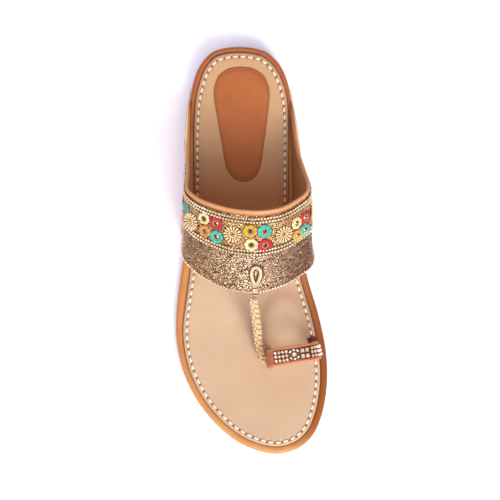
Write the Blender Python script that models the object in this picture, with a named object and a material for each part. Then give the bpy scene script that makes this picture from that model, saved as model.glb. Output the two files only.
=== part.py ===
"""Kolhapuri chappal: a flat slip-on sandal for the right foot, with a beaded
instep band held between two side ears, and a braided cord running down to a
ring for the big toe.

The origin is on the floor under the middle of the shoe. The toe points along
-Y, the heel along +Y, and +X is the inner side of the foot. Tables and sizes
are in millimetres, and MM turns them into metres when a mesh is made.
A station is a distance forward from the back of the heel.
"""

import math

import bmesh
import bpy
import numpy as np
from mathutils import Vector

MM = 0.001

# Driving sizes
SHOE_LENGTH = 255.0
BALL_WIDTH = 95.2
SEAT_GAP = 0.3
OUTSOLE_THICKNESS = 3.0
MIDSOLE_THICKNESS = 5.0
SOCK_THICKNESS = 1.8
PAD_THICKNESS = 0.7
BAND_WALL = 1.8
EAR_WALL = 1.8
EAR_TOP = 45.0
EAR_OVERLAP = 0.4

# Heel block under the seat of the outsole
HEEL_BACK, HEEL_BREAST = 9.0, 66.0
HEEL_INSET = 2.2
HEEL_ROUND = 18.0

# Rings and cross sections
SIDE_POINTS = 38

# Plan of the sole: station, outer (lateral) edge and inner (medial) edge
PLAN = (
    ("heel_round", 2.5, -23.0, 7.6),
    ("heel_shoulder", 7.0, -28.8, 14.0),
    ("heel_side", 14.0, -33.6, 19.3),
    ("heel_wide", 25.0, -37.2, 23.4),
    ("seat", 38.0, -39.0, 25.2),
    ("seat_front", 60.0, -39.9, 26.0),
    ("waist", 85.0, -40.1, 26.6),
    ("arch", 110.0, -40.9, 28.4),
    ("arch_front", 133.0, -43.1, 32.2),
    ("ball_back", 150.0, -45.6, 36.6),
    ("ball", 165.0, -47.2, 41.2),
    ("outer_ball", 177.0, -47.6, 44.2),
    ("toe_bend", 190.0, -46.4, 46.6),
    ("inner_ball", 205.0, -42.5, 47.6),
    ("toe_wide", 220.0, -35.3, 46.4),
    ("toe_shoulder", 232.0, -26.6, 43.6),
    ("toe_round", 243.0, -15.2, 38.6),
    ("toe_front", 251.0, -2.0, 30.0),
)
HEEL_TIP_ACROSS, TOE_TIP_ACROSS = -7.8, 15.5

# Profile of the outsole's underside: station and height over the floor
UNDERSIDE = (
    ("heel", 0.0, 6.6),
    ("breast", 66.0, 5.0),
    ("waist", 92.0, 3.7),
    ("arch", 122.0, 2.0),
    ("tread_back", 148.0, 0.0),
    ("tread_front", 172.0, 0.0),
    ("toe_start", 182.0, 0.7),
    ("toe_bend", 192.0, 2.2),
    ("toe_rise", 213.0, 6.2),
    ("toe_lift", 234.0, 11.5),
    ("toe_tip", 255.0, 17.6),
)

# Width of the bare rim left round the sock: station, outer side, inner side
RIM = (
    ("heel", 0.0, 4.2, 4.2),
    ("seat", 30.0, 5.1, 6.6),
    ("waist", 90.0, 4.6, 6.6),
    ("ball", 170.0, 4.5, 6.2),
    ("toe_bend", 210.0, 4.2, 5.4),
    ("toe", 255.0, 4.9, 4.9),
)

# Sections of the instep band, from the outer low end over the crown to the
# inner low end: back edge (station, across, height), then front edge. The
# last value tells how far the section hugs the side of the shoe.
BAND = (
    ("outer_low", 38.0, -40.6, 15.6, 119.5, -42.2, 11.8, 1.0),
    ("outer_mid", 52.5, -41.2, 27.5, 119.0, -42.5, 22.0, 1.0),
    ("outer_crossing", 66.0, -41.8, 37.0, 119.5, -42.8, 33.0, 1.0),
    ("outer_side", 77.0, -42.2, 51.0, 125.5, -42.9, 40.0, 1.0),
    ("outer_shoulder", 87.5, -41.0, 63.5, 132.0, -42.0, 44.6, 0.3),
    ("outer_slope", 94.5, -35.0, 71.5, 140.0, -36.5, 47.8, 0.0),
    ("outer_crown", 99.5, -24.0, 78.0, 147.6, -25.5, 50.2, 0.0),
    ("crown_back", 103.0, -9.5, 82.2, 153.4, -10.5, 51.4, 0.0),
    ("crown", 104.0, 3.0, 83.0, 154.6, 2.0, 51.6, 0.0),
    ("inner_crown", 102.6, 15.5, 81.0, 151.4, 16.0, 51.2, 0.0),
    ("inner_slope", 97.5, 27.0, 74.5, 144.6, 28.8, 49.0, 0.0),
    ("inner_shoulder", 88.5, 35.2, 64.0, 136.4, 37.0, 45.2, 0.3),
    ("inner_side", 77.0, 34.8, 51.0, 127.0, 38.0, 40.4, 1.0),
    ("inner_crossing", 66.0, 31.4, 37.0, 119.5, 36.0, 33.0, 1.0),
    ("inner_mid", 52.5, 28.8, 27.5, 119.0, 32.6, 22.0, 1.0),
    ("inner_low", 38.0, 27.0, 15.6, 119.5, 30.4, 11.8, 1.0),
)

# Outline of an ear: part of its height over the hem, station of its back edge
# and of its front edge
EAR = (
    ("hem", 0.0, 26.0, 121.0),
    ("rim_top", 0.14, 34.5, 120.8),
    ("lower", 0.39, 43.5, 120.2),
    ("middle", 0.60, 56.0, 119.3),
    ("crossing", 0.73, 66.0, 117.4),
    ("rise", 0.86, 75.0, 112.8),
    ("shoulder", 0.945, 83.0, 107.4),
    ("crest", 0.985, 89.0, 102.6),
    ("top", 1.0, 93.0, 99.0),
)
# Outward lean of an ear at the height of the band's shoulder, and the share
# of it behind the first station that grows to the whole at the second
OUTER_LEAN, INNER_LEAN = -0.8, 9.0
REAR_LEAN, REAR_STATIONS = 0.6, (45.0, 95.0)
LEAN_HEIGHT, LEAN_CURVE = 47.0, 1.2

# Bands of the trim across the instep band, as parts of its width from back to
# front: binding, two rows of chain, stitched ribbon, two rows of chain
BINDING_END = 0.055
CHAIN_ROWS = (0.092, 0.134, 0.487, 0.530)
CHAIN_HALF = 0.019
TRIM_BACK, TRIM_FRONT = 0.068, 0.556
TRIM_BASE, CHAIN_HEIGHT = 0.5, 1.2
# Samples of the band from end to end, and the ones that the trims span
GIRTH = np.linspace(0, len(BAND) - 1, 49)
TRIM_SPAN, EDGE_SPAN = slice(11, 38), slice(9, 40)

# Ring for the big toe: feet on the sock (station, across), crown and section
RING_OUTER_FOOT = (197.0, 11.6)
RING_INNER_FOOT = (189.5, 40.0)
RING_RISE = 29.5
RING_LEAN = 1.5
RING_BULGE = 1.8
RING_WIDTH, RING_WALL = 11.0, 2.0
RING_SECTIONS = 22

# Braided cord from the band's front edge down to the ring's outer foot:
# station, across, height
CORD = (
    ("loop_foot", 150.2, 1.6, 58.4),
    ("over_edge", 156.2, 1.3, 55.0),
    ("edge", 160.2, 1.5, 49.6),
    ("upper", 168.0, 2.5, 40.0),
    ("middle", 177.5, 3.6, 30.6),
    ("lower", 186.5, 4.7, 21.6),
    ("foot", 193.4, 6.6, 14.8),
)
CORD_WIDTH, CORD_THICKNESS = 5.0, 3.0
BRAID_PITCH, BRAID_RELIEF = 3.1, 0.32
CORD_SIDES = 10

# Loop that ties the cord to the band: its ends along the band's width, its
# centre and half width over the girth, and its tube
LOOP_TOP, LOOP_FOOT = 0.665, 0.86
LOOP_CENTRE, LOOP_HALF = 8.03, 0.30
LOOP_RADIUS = 0.8

# Domed rivet through each ear
RIVET_STATION, RIVET_HEIGHT = 103.0, 35.0
RIVET_RADIUS, RIVET_DOME = 3.4, 1.5

# Heel pad pressed on the sock: station, half width, centre across
PAD = (
    ("back", 12.6, 0.0, -6.6),
    ("back_round", 14.6, 9.4, -6.6),
    ("back_shoulder", 19.5, 15.0, -6.4),
    ("wide", 29.0, 17.6, -6.2),
    ("taper", 46.0, 15.6, -5.8),
    ("waist", 63.0, 13.0, -5.4),
    ("front_shoulder", 76.0, 10.6, -5.2),
    ("front_round", 82.0, 6.4, -5.0),
    ("front", 84.6, 0.0, -5.0),
)


def column(table, index):
    """One column of a table, as an array."""
    return np.array([row[index] for row in table], float)


def smooth(at, knots, values):
    """A curve through the knots that never overshoots between two of them."""
    step = np.diff(knots)
    slope = np.diff(values) / step
    tangent = np.zeros(len(knots))
    for i in range(1, len(knots) - 1):
        if slope[i - 1] * slope[i] > 0:
            before = 2 * step[i] + step[i - 1]
            after = step[i] + 2 * step[i - 1]
            tangent[i] = (before + after) / (before / slope[i - 1] + after / slope[i])
    tangent[0], tangent[-1] = slope[0], slope[-1]
    at = np.clip(at, knots[0], knots[-1])
    span = np.clip(np.searchsorted(knots, at, side="right") - 1, 0, len(step) - 1)
    t = (at - knots[span]) / step[span]
    rise = (1 + 2 * t) * (1 - t) ** 2 * values[span] + t * t * (3 - 2 * t) * values[span + 1]
    bend = t * (1 - t) ** 2 * tangent[span] - t * t * (1 - t) * tangent[span + 1]
    return rise + step[span] * bend


def read(table, at, index, knot=1):
    """The smooth value of a table's column at a station."""
    return smooth(at, column(table, knot), column(table, index))


def rounded(points, samples, closed):
    """Points along a centripetal Catmull-Rom curve through the given ones."""
    points = np.asarray(points, float)
    count = len(points)
    if closed:
        padded = np.vstack([points[-1], points, points[0], points[1]])
        spans = count
    else:
        first, last = 2 * points[0] - points[1], 2 * points[-1] - points[-2]
        padded = np.vstack([first, points, last])
        spans = count - 1
    curve = []
    for i in range(spans):
        p0, p1, p2, p3 = padded[i : i + 4]
        t1 = math.sqrt(np.linalg.norm(p1 - p0))
        t2 = t1 + math.sqrt(np.linalg.norm(p2 - p1))
        t3 = t2 + math.sqrt(np.linalg.norm(p3 - p2))
        for t in np.linspace(t1, t2, samples, endpoint=False):
            a1 = p0 + (p1 - p0) * t / t1
            a2 = p1 + (p2 - p1) * (t - t1) / (t2 - t1)
            a3 = p2 + (p3 - p2) * (t - t2) / (t3 - t2)
            b1 = a1 + (a2 - a1) * t / t2
            b2 = a2 + (a3 - a2) * (t - t1) / (t3 - t1)
            curve.append(b1 + (b2 - b1) * (t - t1) / (t2 - t1))
    if not closed:
        curve.append(points[-1])
    return np.array(curve)


def spaced(curve, count):
    """Points at equal distances along a polyline, its ends included."""
    run = np.concatenate([[0], np.cumsum(np.linalg.norm(np.diff(curve, axis=0), axis=1))])
    at = np.linspace(0, run[-1], count)
    return np.stack([np.interp(at, run, curve[:, i]) for i in range(curve.shape[1])], axis=1)


def sole_plan():
    """The sole's outline as (station, across), from the heel tip along the
    inner side to the toe tip and back along the outer side."""
    widen = BALL_WIDTH / (column(PLAN, 3).max() - column(PLAN, 2).min())
    inner = [(row[1], row[3] * widen) for row in PLAN]
    outer = [(row[1], row[2] * widen) for row in reversed(PLAN)]
    ring = [(0.0, HEEL_TIP_ACROSS), *inner, (SHOE_LENGTH, TOE_TIP_ACROSS), *outer]
    return rounded(ring, 12, closed=True)


OUTLINE = sole_plan()
TOE_TIP = (len(PLAN) + 1) * 12


def edge_across(station, inner):
    """How far across the sole's edge lies at a station."""
    half = OUTLINE[: TOE_TIP + 1] if inner else np.vstack([OUTLINE[TOE_TIP:], OUTLINE[:1]])[::-1]
    return np.interp(station, half[:, 0], half[:, 1])


def rungs(low, high):
    """Stations from one tip of a ring to the other, closer at the tips."""
    turn = np.linspace(0, math.pi, SIDE_POINTS + 1)
    return (low + high) / 2 - (high - low) / 2 * np.cos(turn)


def inset_outline(inset, low=None, high=None):
    """The outline moved inwards by a width, or by a width for each of its
    points, with its two sides read at the same stations."""
    along = np.roll(OUTLINE, -1, axis=0) - np.roll(OUTLINE, 1, axis=0)
    inward = np.stack([-along[:, 1], along[:, 0]], axis=1)
    inward /= np.linalg.norm(inward, axis=1)[:, None]
    turn = np.sign(((OUTLINE.mean(axis=0) - OUTLINE) * inward).sum(axis=1))
    ring = OUTLINE + inward * turn[:, None] * np.reshape(inset, (-1, 1))
    heel, toe = np.argmin(ring[:, 0]), np.argmax(ring[:, 0])
    ring = np.roll(ring, -heel, axis=0)
    toe = (toe - heel) % len(ring)
    inner, outer = ring[: toe + 1], np.vstack([ring[toe:], ring[:1]])[::-1]
    low = inner[0, 0] if low is None else low
    high = inner[-1, 0] if high is None else high
    stations = rungs(low, high)
    inner_side = np.interp(stations, inner[:, 0], inner[:, 1])
    outer_side = np.interp(stations, outer[:, 0], outer[:, 1])
    return np.vstack([
        np.stack([stations, inner_side], axis=1),
        np.stack([stations, outer_side], axis=1)[-2:0:-1],
    ])


def rim_width():
    """The rim's width at each point of the outline."""
    outer = read(RIM, OUTLINE[:, 0], 2)
    inner = read(RIM, OUTLINE[:, 0], 3)
    return np.where(np.arange(len(OUTLINE)) <= TOE_TIP, inner, outer)


def under(station):
    """Height of the outsole's underside over the floor."""
    return read(UNDERSIDE, station, 2)


def place(station, across, height):
    """A point in metres, from millimetres measured along the shoe."""
    station, across, height = np.broadcast_arrays(station, across, height)
    return np.stack([across, SHOE_LENGTH / 2 - station, height], axis=-1) * MM


def leather(name, colour, roughness, metallic=0.0):
    """A material with one colour and finish."""
    material = bpy.data.materials.new(name)
    material.use_nodes = True
    shader = material.node_tree.nodes["Principled BSDF"]
    shader.inputs["Base Color"].default_value = (*colour, 1.0)
    shader.inputs["Roughness"].default_value = roughness
    shader.inputs["Metallic"].default_value = metallic
    material.diffuse_color = (*colour, 1.0)
    return material


def finish(name, mesh, material):
    """An object for a mesh, with its faces pointing out and its edges smooth."""
    mesh.materials.append(material)
    mesh.shade_smooth()
    mesh.set_sharp_from_angle(angle=math.radians(35))
    piece = bpy.data.objects.new(name, mesh)
    PARTS.objects.link(piece)
    return piece


def from_bmesh(name, form, material):
    """Closes a bmesh as a named piece."""
    bmesh.ops.recalc_face_normals(form, faces=form.faces)
    mesh = bpy.data.meshes.new(name)
    form.to_mesh(mesh)
    form.free()
    return finish(name, mesh, material)


def add_ladder(form, ring, flip):
    """Closes a ring with rungs from side to side, which keeps its profile."""
    count = len(ring)
    for i in range(count // 2):
        rung = [ring[i], ring[i + 1], ring[(count - i - 1) % count], ring[(count - i) % count]]
        rung = [v for j, v in enumerate(rung) if v not in rung[:j]]
        if len(rung) > 2:
            form.faces.new(rung[::-1] if flip else rung)


def stacked(name, rings, material):
    """A solid through rings of equal count, closed at its first and last."""
    form = bmesh.new()
    loops = [[form.verts.new(point) for point in ring] for ring in rings]
    for low, high in zip(loops, loops[1:]):
        for i in range(len(low)):
            j = (i + 1) % len(low)
            form.faces.new((low[i], low[j], high[j], high[i]))
    add_ladder(form, loops[0], True)
    add_ladder(form, loops[-1], False)
    return from_bmesh(name, form, material)


def sheet_solid(name, outer, inner, material):
    """A wall between two grids of points, closed round its rim."""
    rows, columns = outer.shape[:2]
    form = bmesh.new()
    front = [[form.verts.new(p) for p in row] for row in outer]
    back = [[form.verts.new(p) for p in row] for row in inner]
    for i in range(rows - 1):
        for j in range(columns - 1):
            form.faces.new((front[i][j], front[i][j + 1], front[i + 1][j + 1], front[i + 1][j]))
            form.faces.new((back[i][j], back[i + 1][j], back[i + 1][j + 1], back[i][j + 1]))
    around = [(0, j) for j in range(columns - 1)]
    around += [(i, columns - 1) for i in range(rows - 1)]
    around += [(rows - 1, j) for j in range(columns - 1, 0, -1)]
    around += [(i, 0) for i in range(rows - 1, 0, -1)]
    for here, there in zip(around, around[1:] + around[:1]):
        corner = front[here[0]][here[1]], front[there[0]][there[1]]
        under_it = back[there[0]][there[1]], back[here[0]][here[1]]
        form.faces.new((*corner[::-1], *under_it[::-1]))
    return from_bmesh(name, form, material)


def sole_ring(inset, lift):
    """The outline at an inset, lifted over the outsole's underside."""
    ring = inset_outline(inset)
    return place(ring[:, 0], ring[:, 1], under(ring[:, 0]) + lift)


def outsole():
    """Thin rubber outsole, with softened edges."""
    top = OUTSOLE_THICKNESS
    rings = [sole_ring(2.2, 0.0), sole_ring(1.1, 0.5), sole_ring(0.9, top - 0.3), sole_ring(1.3, top)]
    return stacked("outsole", rings, leather("outsole_rubber", (0.012, 0.011, 0.012), 0.5))


def heel_block():
    """Low rubber heel, flat on the floor and shaped to the outsole above."""

    def level(inset, front, height=None):
        back = HEEL_BACK + inset
        ring = inset_outline(HEEL_INSET + inset, back, HEEL_BREAST - front)
        middle = ring[[1, -1], 1].mean()
        near = np.clip((ring[:, 0] - back) / HEEL_ROUND, 0, 1)
        ring[:, 1] = middle + (ring[:, 1] - middle) * (1 - (1 - near) ** 2.4) ** (1 / 2.4)
        high = under(ring[:, 0]) - SEAT_GAP if height is None else height
        return place(ring[:, 0], ring[:, 1], high)

    rings = [level(1.8, 2.4, 0.0), level(0.8, 1.4, 0.45), level(0.3, 0.9, 1.4), level(0.0, 0.0)]
    return stacked("heel_block", rings, leather("heel_rubber", (0.012, 0.011, 0.012), 0.5))


def midsole():
    """Board wrapped in tan leather, its top edge rolled like a bead."""
    low = OUTSOLE_THICKNESS + SEAT_GAP
    top = low + MIDSOLE_THICKNESS
    rings = [
        sole_ring(1.0, low),
        sole_ring(0.3, low + 0.7),
        sole_ring(0.0, low + 2.2),
        sole_ring(0.35, top - 1.3),
        sole_ring(1.2, top - 0.4),
        sole_ring(2.6, top),
    ]
    return stacked("midsole", rings, leather("rim_leather", (0.58, 0.24, 0.09), 0.45))


def sock_top(station):
    """Height of the sock's upper face."""
    lift = OUTSOLE_THICKNESS + MIDSOLE_THICKNESS + SOCK_THICKNESS + 2 * SEAT_GAP
    return under(station) + lift


def insole():
    """Sewn sock that covers the footbed inside the bare rim."""
    width = rim_width()
    low = OUTSOLE_THICKNESS + MIDSOLE_THICKNESS + 2 * SEAT_GAP
    top = low + SOCK_THICKNESS
    rings = [
        sole_ring(width + 0.2, low),
        sole_ring(width, low + 0.4),
        sole_ring(width + 0.15, top - 0.5),
        sole_ring(width + 0.8, top),
    ]
    return stacked("insole", rings, leather("sock_leather", (0.72, 0.47, 0.29), 0.6))


def heel_pad():
    """Padded patch under the heel, a long drop with its round end behind."""
    stations = np.linspace(0, math.pi, 17)
    first, last = PAD[0][1], PAD[-1][1]
    along = (first + last) / 2 - (last - first) / 2 * np.cos(stations)
    half = read(PAD, along, 2)
    middle = read(PAD, along, 3)
    plan = np.vstack([
        np.stack([along, middle + half], axis=1),
        np.stack([along, middle - half], axis=1)[-2:0:-1],
    ])
    centre = plan.mean(axis=0)

    def level(shrink, lift):
        reach = centre + (plan - centre) * (1 - shrink / 16.0)
        return place(reach[:, 0], reach[:, 1], sock_top(reach[:, 0]) + lift)

    top = SEAT_GAP + PAD_THICKNESS
    rings = [level(0.0, SEAT_GAP), level(0.0, top - 0.3), level(0.5, top)]
    return stacked("heel_pad", rings, leather("pad_leather", (0.47, 0.14, 0.04), 0.55))


def hem_height(station):
    """Height of the ears' lower hem, just over the outsole."""
    return under(station) + OUTSOLE_THICKNESS + SEAT_GAP + 0.3


def side_across(station, height, inner):
    """Outer face of the sides: the sole's edge, leaning out as it rises."""
    clear = SEAT_GAP + EAR_OVERLAP
    over = np.clip(height - hem_height(station) - MIDSOLE_THICKNESS, 0, None)
    part = np.minimum(over / LEAN_HEIGHT, 1.0)
    share = np.interp(station, REAR_STATIONS, (REAR_LEAN, 1.0))
    if inner:
        return edge_across(station, True) + clear + share * INNER_LEAN * part**LEAN_CURVE
    return edge_across(station, False) - clear - share * OUTER_LEAN * part**LEAN_CURVE


def band_edges(girth):
    """Back and front edge points of the band, and how far it hugs the side."""
    knots = np.arange(len(BAND), dtype=float)
    values = [smooth(girth, knots, column(BAND, i)) for i in range(1, 8)]
    return values[:3], values[3:6], values[6]


def band_face(girth, along, lift=0.0):
    """A point of the band's outer face, in millimetres (station, across,
    height): girth counts sections, and along runs from back to front."""
    step = 0.02

    def bare(g, a):
        back, front, hug = band_edges(np.clip(g, 0, len(BAND) - 1))
        point = [b + (f - b) * a for b, f in zip(back, front)]
        inner = g > (len(BAND) - 1) / 2
        side = np.where(inner, side_across(point[0], point[2], True), side_across(point[0], point[2], False))
        point[1] = point[1] + hug * (side - point[1])
        return np.stack(np.broadcast_arrays(*point), axis=-1)

    girth, along = np.broadcast_arrays(np.asarray(girth, float), np.asarray(along, float))
    here = bare(girth, along)
    across = bare(girth + step, along) - bare(girth - step, along)
    down = bare(girth, along + step) - bare(girth, along - step)
    normal = np.cross(down, across)
    normal /= np.linalg.norm(normal, axis=-1)[..., None]
    return here + normal * np.reshape(lift, np.shape(lift) + (1,))


def to_metres(points):
    """Millimetre points (station, across, height) as metres in the world."""
    return place(points[..., 0], points[..., 1], points[..., 2])


def band_wall():
    """The instep band with its linings down to the rim: one bent sheet, with a
    folded binding along its back edge."""
    girth = GIRTH[:, None]
    profile = (
        (0.0, -0.35), (0.012, 0.35), (BINDING_END - 0.012, 0.35), (BINDING_END, 0.0),
        (0.25, 0.0), (0.42, 0.0), (0.60, 0.0), (0.80, 0.0), (0.985, 0.0), (1.0, -0.5),
    )
    along = np.array([p[0] for p in profile])[None, :]
    lift = np.array([p[1] for p in profile])[None, :] + 0 * girth
    inside = np.array([-BAND_WALL + 0.5, *[-BAND_WALL] * (len(profile) - 2), -BAND_WALL + 0.4])
    outer = band_face(girth, along, lift)
    inner = band_face(girth, along, inside[None, :] + 0 * girth)
    return outer, inner


def ear_wall(inner_side):
    """One ear: outer and inner grids, from its hem to its round top."""
    part = 1 - (1 - np.linspace(0, 1, 15)) ** 1.6
    across_ear = np.linspace(0, 1, 13)[None, :]
    back = read(EAR, part, 2)[:, None]
    front = read(EAR, part, 3)[:, None]
    station = back + (front - back) * across_ear
    hem = hem_height(station)
    height = hem + part[:, None] * (EAR_TOP - hem)
    side = 1.0 if inner_side else -1.0
    across = side_across(station, height, inner_side)
    inner = np.stack([station, across - side * EAR_OVERLAP, height], axis=-1)
    outer = np.stack([station, across + side * (EAR_WALL - EAR_OVERLAP), height], axis=-1)
    return outer, inner


def upper():
    """Instep band and both ears as one wall, the ears standing over it."""
    tan = leather("strap_leather", (0.70, 0.33, 0.13), 0.5)
    band = sheet_solid("upper", *[to_metres(grid) for grid in band_wall()], tan)
    for inner_side, side in ((False, "outer"), (True, "inner")):
        ear = sheet_solid("ear_" + side, *[to_metres(g) for g in ear_wall(inner_side)], tan)
        PARTS.objects.unlink(ear)
        CUTTERS.objects.link(ear)
        ear.hide_render = True
        ear.display_type = "WIRE"
        join = band.modifiers.new("join_" + side, "BOOLEAN")
        join.operation = "UNION"
        join.object = ear
    return band


def trim_ribbon():
    """Stitched ribbon over the band, with two rows of chain on each side."""
    girth = GIRTH[TRIM_SPAN, None]
    profile = [(TRIM_BACK, TRIM_BASE)]
    for row in CHAIN_ROWS:
        profile += [(row - CHAIN_HALF, TRIM_BASE), (row - 0.012, CHAIN_HEIGHT)]
        profile += [(row + 0.012, CHAIN_HEIGHT), (row + CHAIN_HALF, TRIM_BASE)]
    profile.insert(9, (0.31, TRIM_BASE + 0.1))
    profile.append((TRIM_FRONT, TRIM_BASE))
    along = np.array([p[0] for p in profile])[None, :]
    top = np.array([p[1] for p in profile])[None, :] + SEAT_GAP + 0 * girth
    outer = band_face(girth, along, top)
    inner = band_face(girth, along, SEAT_GAP + 0 * top)
    gold = leather("trim_gold", (0.62, 0.42, 0.22), 0.4, 0.4)
    return sheet_solid("trim_ribbon", to_metres(outer), to_metres(inner), gold)


def edge_chain():
    """Row of chain along the band's front edge."""
    girth = GIRTH[EDGE_SPAN, None]
    profile = ((0.955, 0.2), (0.962, 0.9), (0.988, 0.9), (0.996, 0.2))
    along = np.array([p[0] for p in profile])[None, :]
    top = np.array([p[1] for p in profile])[None, :] + SEAT_GAP + 0 * girth
    outer = band_face(girth, along, top)
    inner = band_face(girth, along, SEAT_GAP + 0 * top)
    gold = leather("chain_gold", (0.75, 0.58, 0.38), 0.35, 0.5)
    return sheet_solid("edge_chain", to_metres(outer), to_metres(inner), gold)


def toe_ring():
    """Leather ring that holds the big toe, leaning back from its two feet."""
    angle = np.linspace(0, math.pi, RING_SECTIONS)
    part = (1 - np.cos(angle)) / 2
    outer_foot, inner_foot = np.array(RING_OUTER_FOOT), np.array(RING_INNER_FOOT)
    direction = inner_foot - outer_foot
    rise = np.sin(angle) ** 0.72
    squared = 0.5 - 0.5 * np.sign(np.cos(angle)) * np.abs(np.cos(angle)) ** 0.8
    base = outer_foot[None, :] + direction[None, :] * squared[:, None]
    base[:, 1] -= RING_BULGE * np.sin(2 * angle)
    base[:, 0] -= RING_LEAN * rise * (1 - 0.6 * part)
    floor = sock_top(outer_foot[0]) + (sock_top(inner_foot[0]) - sock_top(outer_foot[0])) * part
    middle = np.column_stack([base, floor + 1.2 + RING_RISE * rise])
    tangent = np.gradient(middle, axis=0)
    tangent /= np.linalg.norm(tangent, axis=1)[:, None]
    across = np.array([direction[1], -direction[0], 0.0])
    across /= np.linalg.norm(across)
    width = across[None, :] - tangent * (tangent @ across)[:, None]
    width /= np.linalg.norm(width, axis=1)[:, None]
    normal = np.cross(width, tangent)
    normal *= np.sign((normal * (middle - middle.mean(axis=0))).sum(axis=1))[:, None]
    half = RING_WIDTH / 2
    edge = np.array([-half, -half + 0.7, 0.0, half - 0.7, half])
    crown = np.array([-0.5, 0.0, 0.15, 0.0, -0.5])
    outer = middle[:, None] + width[:, None] * edge[None, :, None] + normal[:, None] * crown[None, :, None]
    inner = outer - normal[:, None] * (RING_WALL + 2 * np.minimum(crown, 0))[None, :, None]
    for grid in (outer, inner):
        clear = sock_top(grid[..., 0]) + SEAT_GAP
        grid[..., 2] = np.maximum(grid[..., 2], clear)
        grid[[0, -1], :, 2] = clear[[0, -1]]
    return sheet_solid("toe_ring", to_metres(outer), to_metres(inner),
                       leather("ring_leather", (0.55, 0.20, 0.09), 0.5))


def toe_cord():
    """Braided cord: an oval section whose strands stand out in turn."""
    curve = rounded([row[1:4] for row in CORD], 16, closed=False)
    length = np.linalg.norm(np.diff(curve, axis=0), axis=1).sum()
    count = int(length / (BRAID_PITCH / 4)) + 1
    path = spaced(curve, count)
    tangent = np.gradient(path, axis=0)
    tangent /= np.linalg.norm(tangent, axis=1)[:, None]
    side = np.array([0.0, 1.0, 0.0])
    side = side[None, :] - tangent * (tangent @ side)[:, None]
    side /= np.linalg.norm(side, axis=1)[:, None]
    up = np.cross(side, tangent)
    up *= np.sign(up[:, 2:3])
    rings = []
    for i in range(count):
        phase = 2 * math.pi * i / 4
        ring = []
        for k in range(CORD_SIDES):
            turn = 2 * math.pi * k / CORD_SIDES
            relief = 1 + BRAID_RELIEF / 2 * math.cos(phase) * math.cos(turn)
            wide = CORD_WIDTH / 2 * math.cos(turn) * relief
            high = CORD_THICKNESS / 2 * math.sin(turn) * (1 + 0.12 * math.sin(phase))
            ring.append(path[i] + side[i] * wide + up[i] * high)
        rings.append(to_metres(np.array(ring)))
    return stacked("toe_cord", rings, leather("cord_thread", (0.80, 0.58, 0.32), 0.6))


def cord_loop():
    """Drop-shaped loop of thin cord on the band, above the braided cord."""
    turn = np.linspace(0, 2 * math.pi, 29)[:-1]
    along = (LOOP_TOP + LOOP_FOOT) / 2 - (LOOP_FOOT - LOOP_TOP) / 2 * np.cos(turn)
    taper = 1 - 0.35 * (1 - np.cos(turn)) / 2
    girth = LOOP_CENTRE + LOOP_HALF * np.sin(turn) * taper
    points = band_face(girth, along, np.full(len(turn), SEAT_GAP + LOOP_RADIUS))
    curve = bpy.data.curves.new("cord_loop", "CURVE")
    curve.dimensions = "3D"
    curve.bevel_depth = LOOP_RADIUS * MM
    curve.bevel_resolution = 1
    spline = curve.splines.new("POLY")
    spline.points.add(len(turn) - 1)
    for knot, point in zip(spline.points, to_metres(points)):
        knot.co = (*point, 1.0)
    spline.use_cyclic_u = True
    curve.materials.append(leather("loop_thread", (0.80, 0.58, 0.32), 0.6))
    PARTS.objects.link(bpy.data.objects.new("cord_loop", curve))


def rivets():
    """Domed rivet cap on each ear, on the ear's outer face."""
    steel = leather("rivet_steel", (0.62, 0.60, 0.58), 0.25, 1.0)
    for name, inner_side in (("rivet_outer", False), ("rivet_inner", True)):
        side = 1.0 if inner_side else -1.0
        offset = EAR_WALL - EAR_OVERLAP + SEAT_GAP
        face = side_across(RIVET_STATION, RIVET_HEIGHT, inner_side) + side * offset
        above = side_across(RIVET_STATION, RIVET_HEIGHT + 3, inner_side) + side * offset
        ahead = side_across(RIVET_STATION + 3, RIVET_HEIGHT, inner_side) + side * offset
        up = Vector((above - face, 0, 3)).normalized()
        along = Vector((ahead - face, -3, 0)).normalized()
        outward = along.cross(up).normalized()
        outward *= side * math.copysign(1.0, outward.x)
        steps = 5
        profile = [(RIVET_RADIUS * math.cos(a), 0.35 + (RIVET_DOME - 0.35) * math.sin(a))
                   for a in np.linspace(0, math.pi / 2, steps)]
        profile[-1] = (0.0, profile[-1][1])
        points = [*reversed(profile), (RIVET_RADIUS, 0.0), (0.0, 0.0)]
        form = bmesh.new()
        line = [form.verts.new((r * MM, 0, h * MM)) for r, h in points]
        edges = [form.edges.new(pair) for pair in zip(line, line[1:])]
        bmesh.ops.spin(form, geom=line + edges, cent=(0, 0, 0), axis=(0, 0, 1),
                       angle=2 * math.pi, steps=20, use_merge=True)
        bmesh.ops.remove_doubles(form, verts=form.verts, dist=1e-6)
        turn = outward.to_track_quat("Z", "Y").to_matrix().to_4x4()
        turn.translation = Vector(place(RIVET_STATION, face, RIVET_HEIGHT))
        piece = from_bmesh(name, form, steel)
        piece.matrix_world = turn


def build():
    """Makes every piece."""
    outsole()
    heel_block()
    midsole()
    insole()
    heel_pad()
    upper()
    trim_ribbon()
    edge_chain()
    toe_ring()
    toe_cord()
    cord_loop()
    rivets()


for old in list(bpy.data.objects):
    bpy.data.objects.remove(old, do_unlink=True)
PARTS = bpy.data.collections.new("kolhapuri_chappal")
CUTTERS = bpy.data.collections.new("joined_forms")
bpy.context.scene.collection.children.link(PARTS)
bpy.context.scene.collection.children.link(CUTTERS)
build()
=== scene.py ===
"""Kolhapuri chappal for the right foot, dressed over its CAD frame.

The sandal has a rubber outsole and low heel, a board wrapped in tan leather
whose rolled rim shows round a sewn sock, a beaded instep band held between two
leather ears, and a plaited cord that runs from the band to a jewelled ring for
the big toe.

Sizes are in millimetres. A station is a distance forward from the back of the
heel, across is positive on the inner side of the foot, and height is over the
floor. MM turns them into metres when a mesh is placed.
"""

from __future__ import annotations

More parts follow.
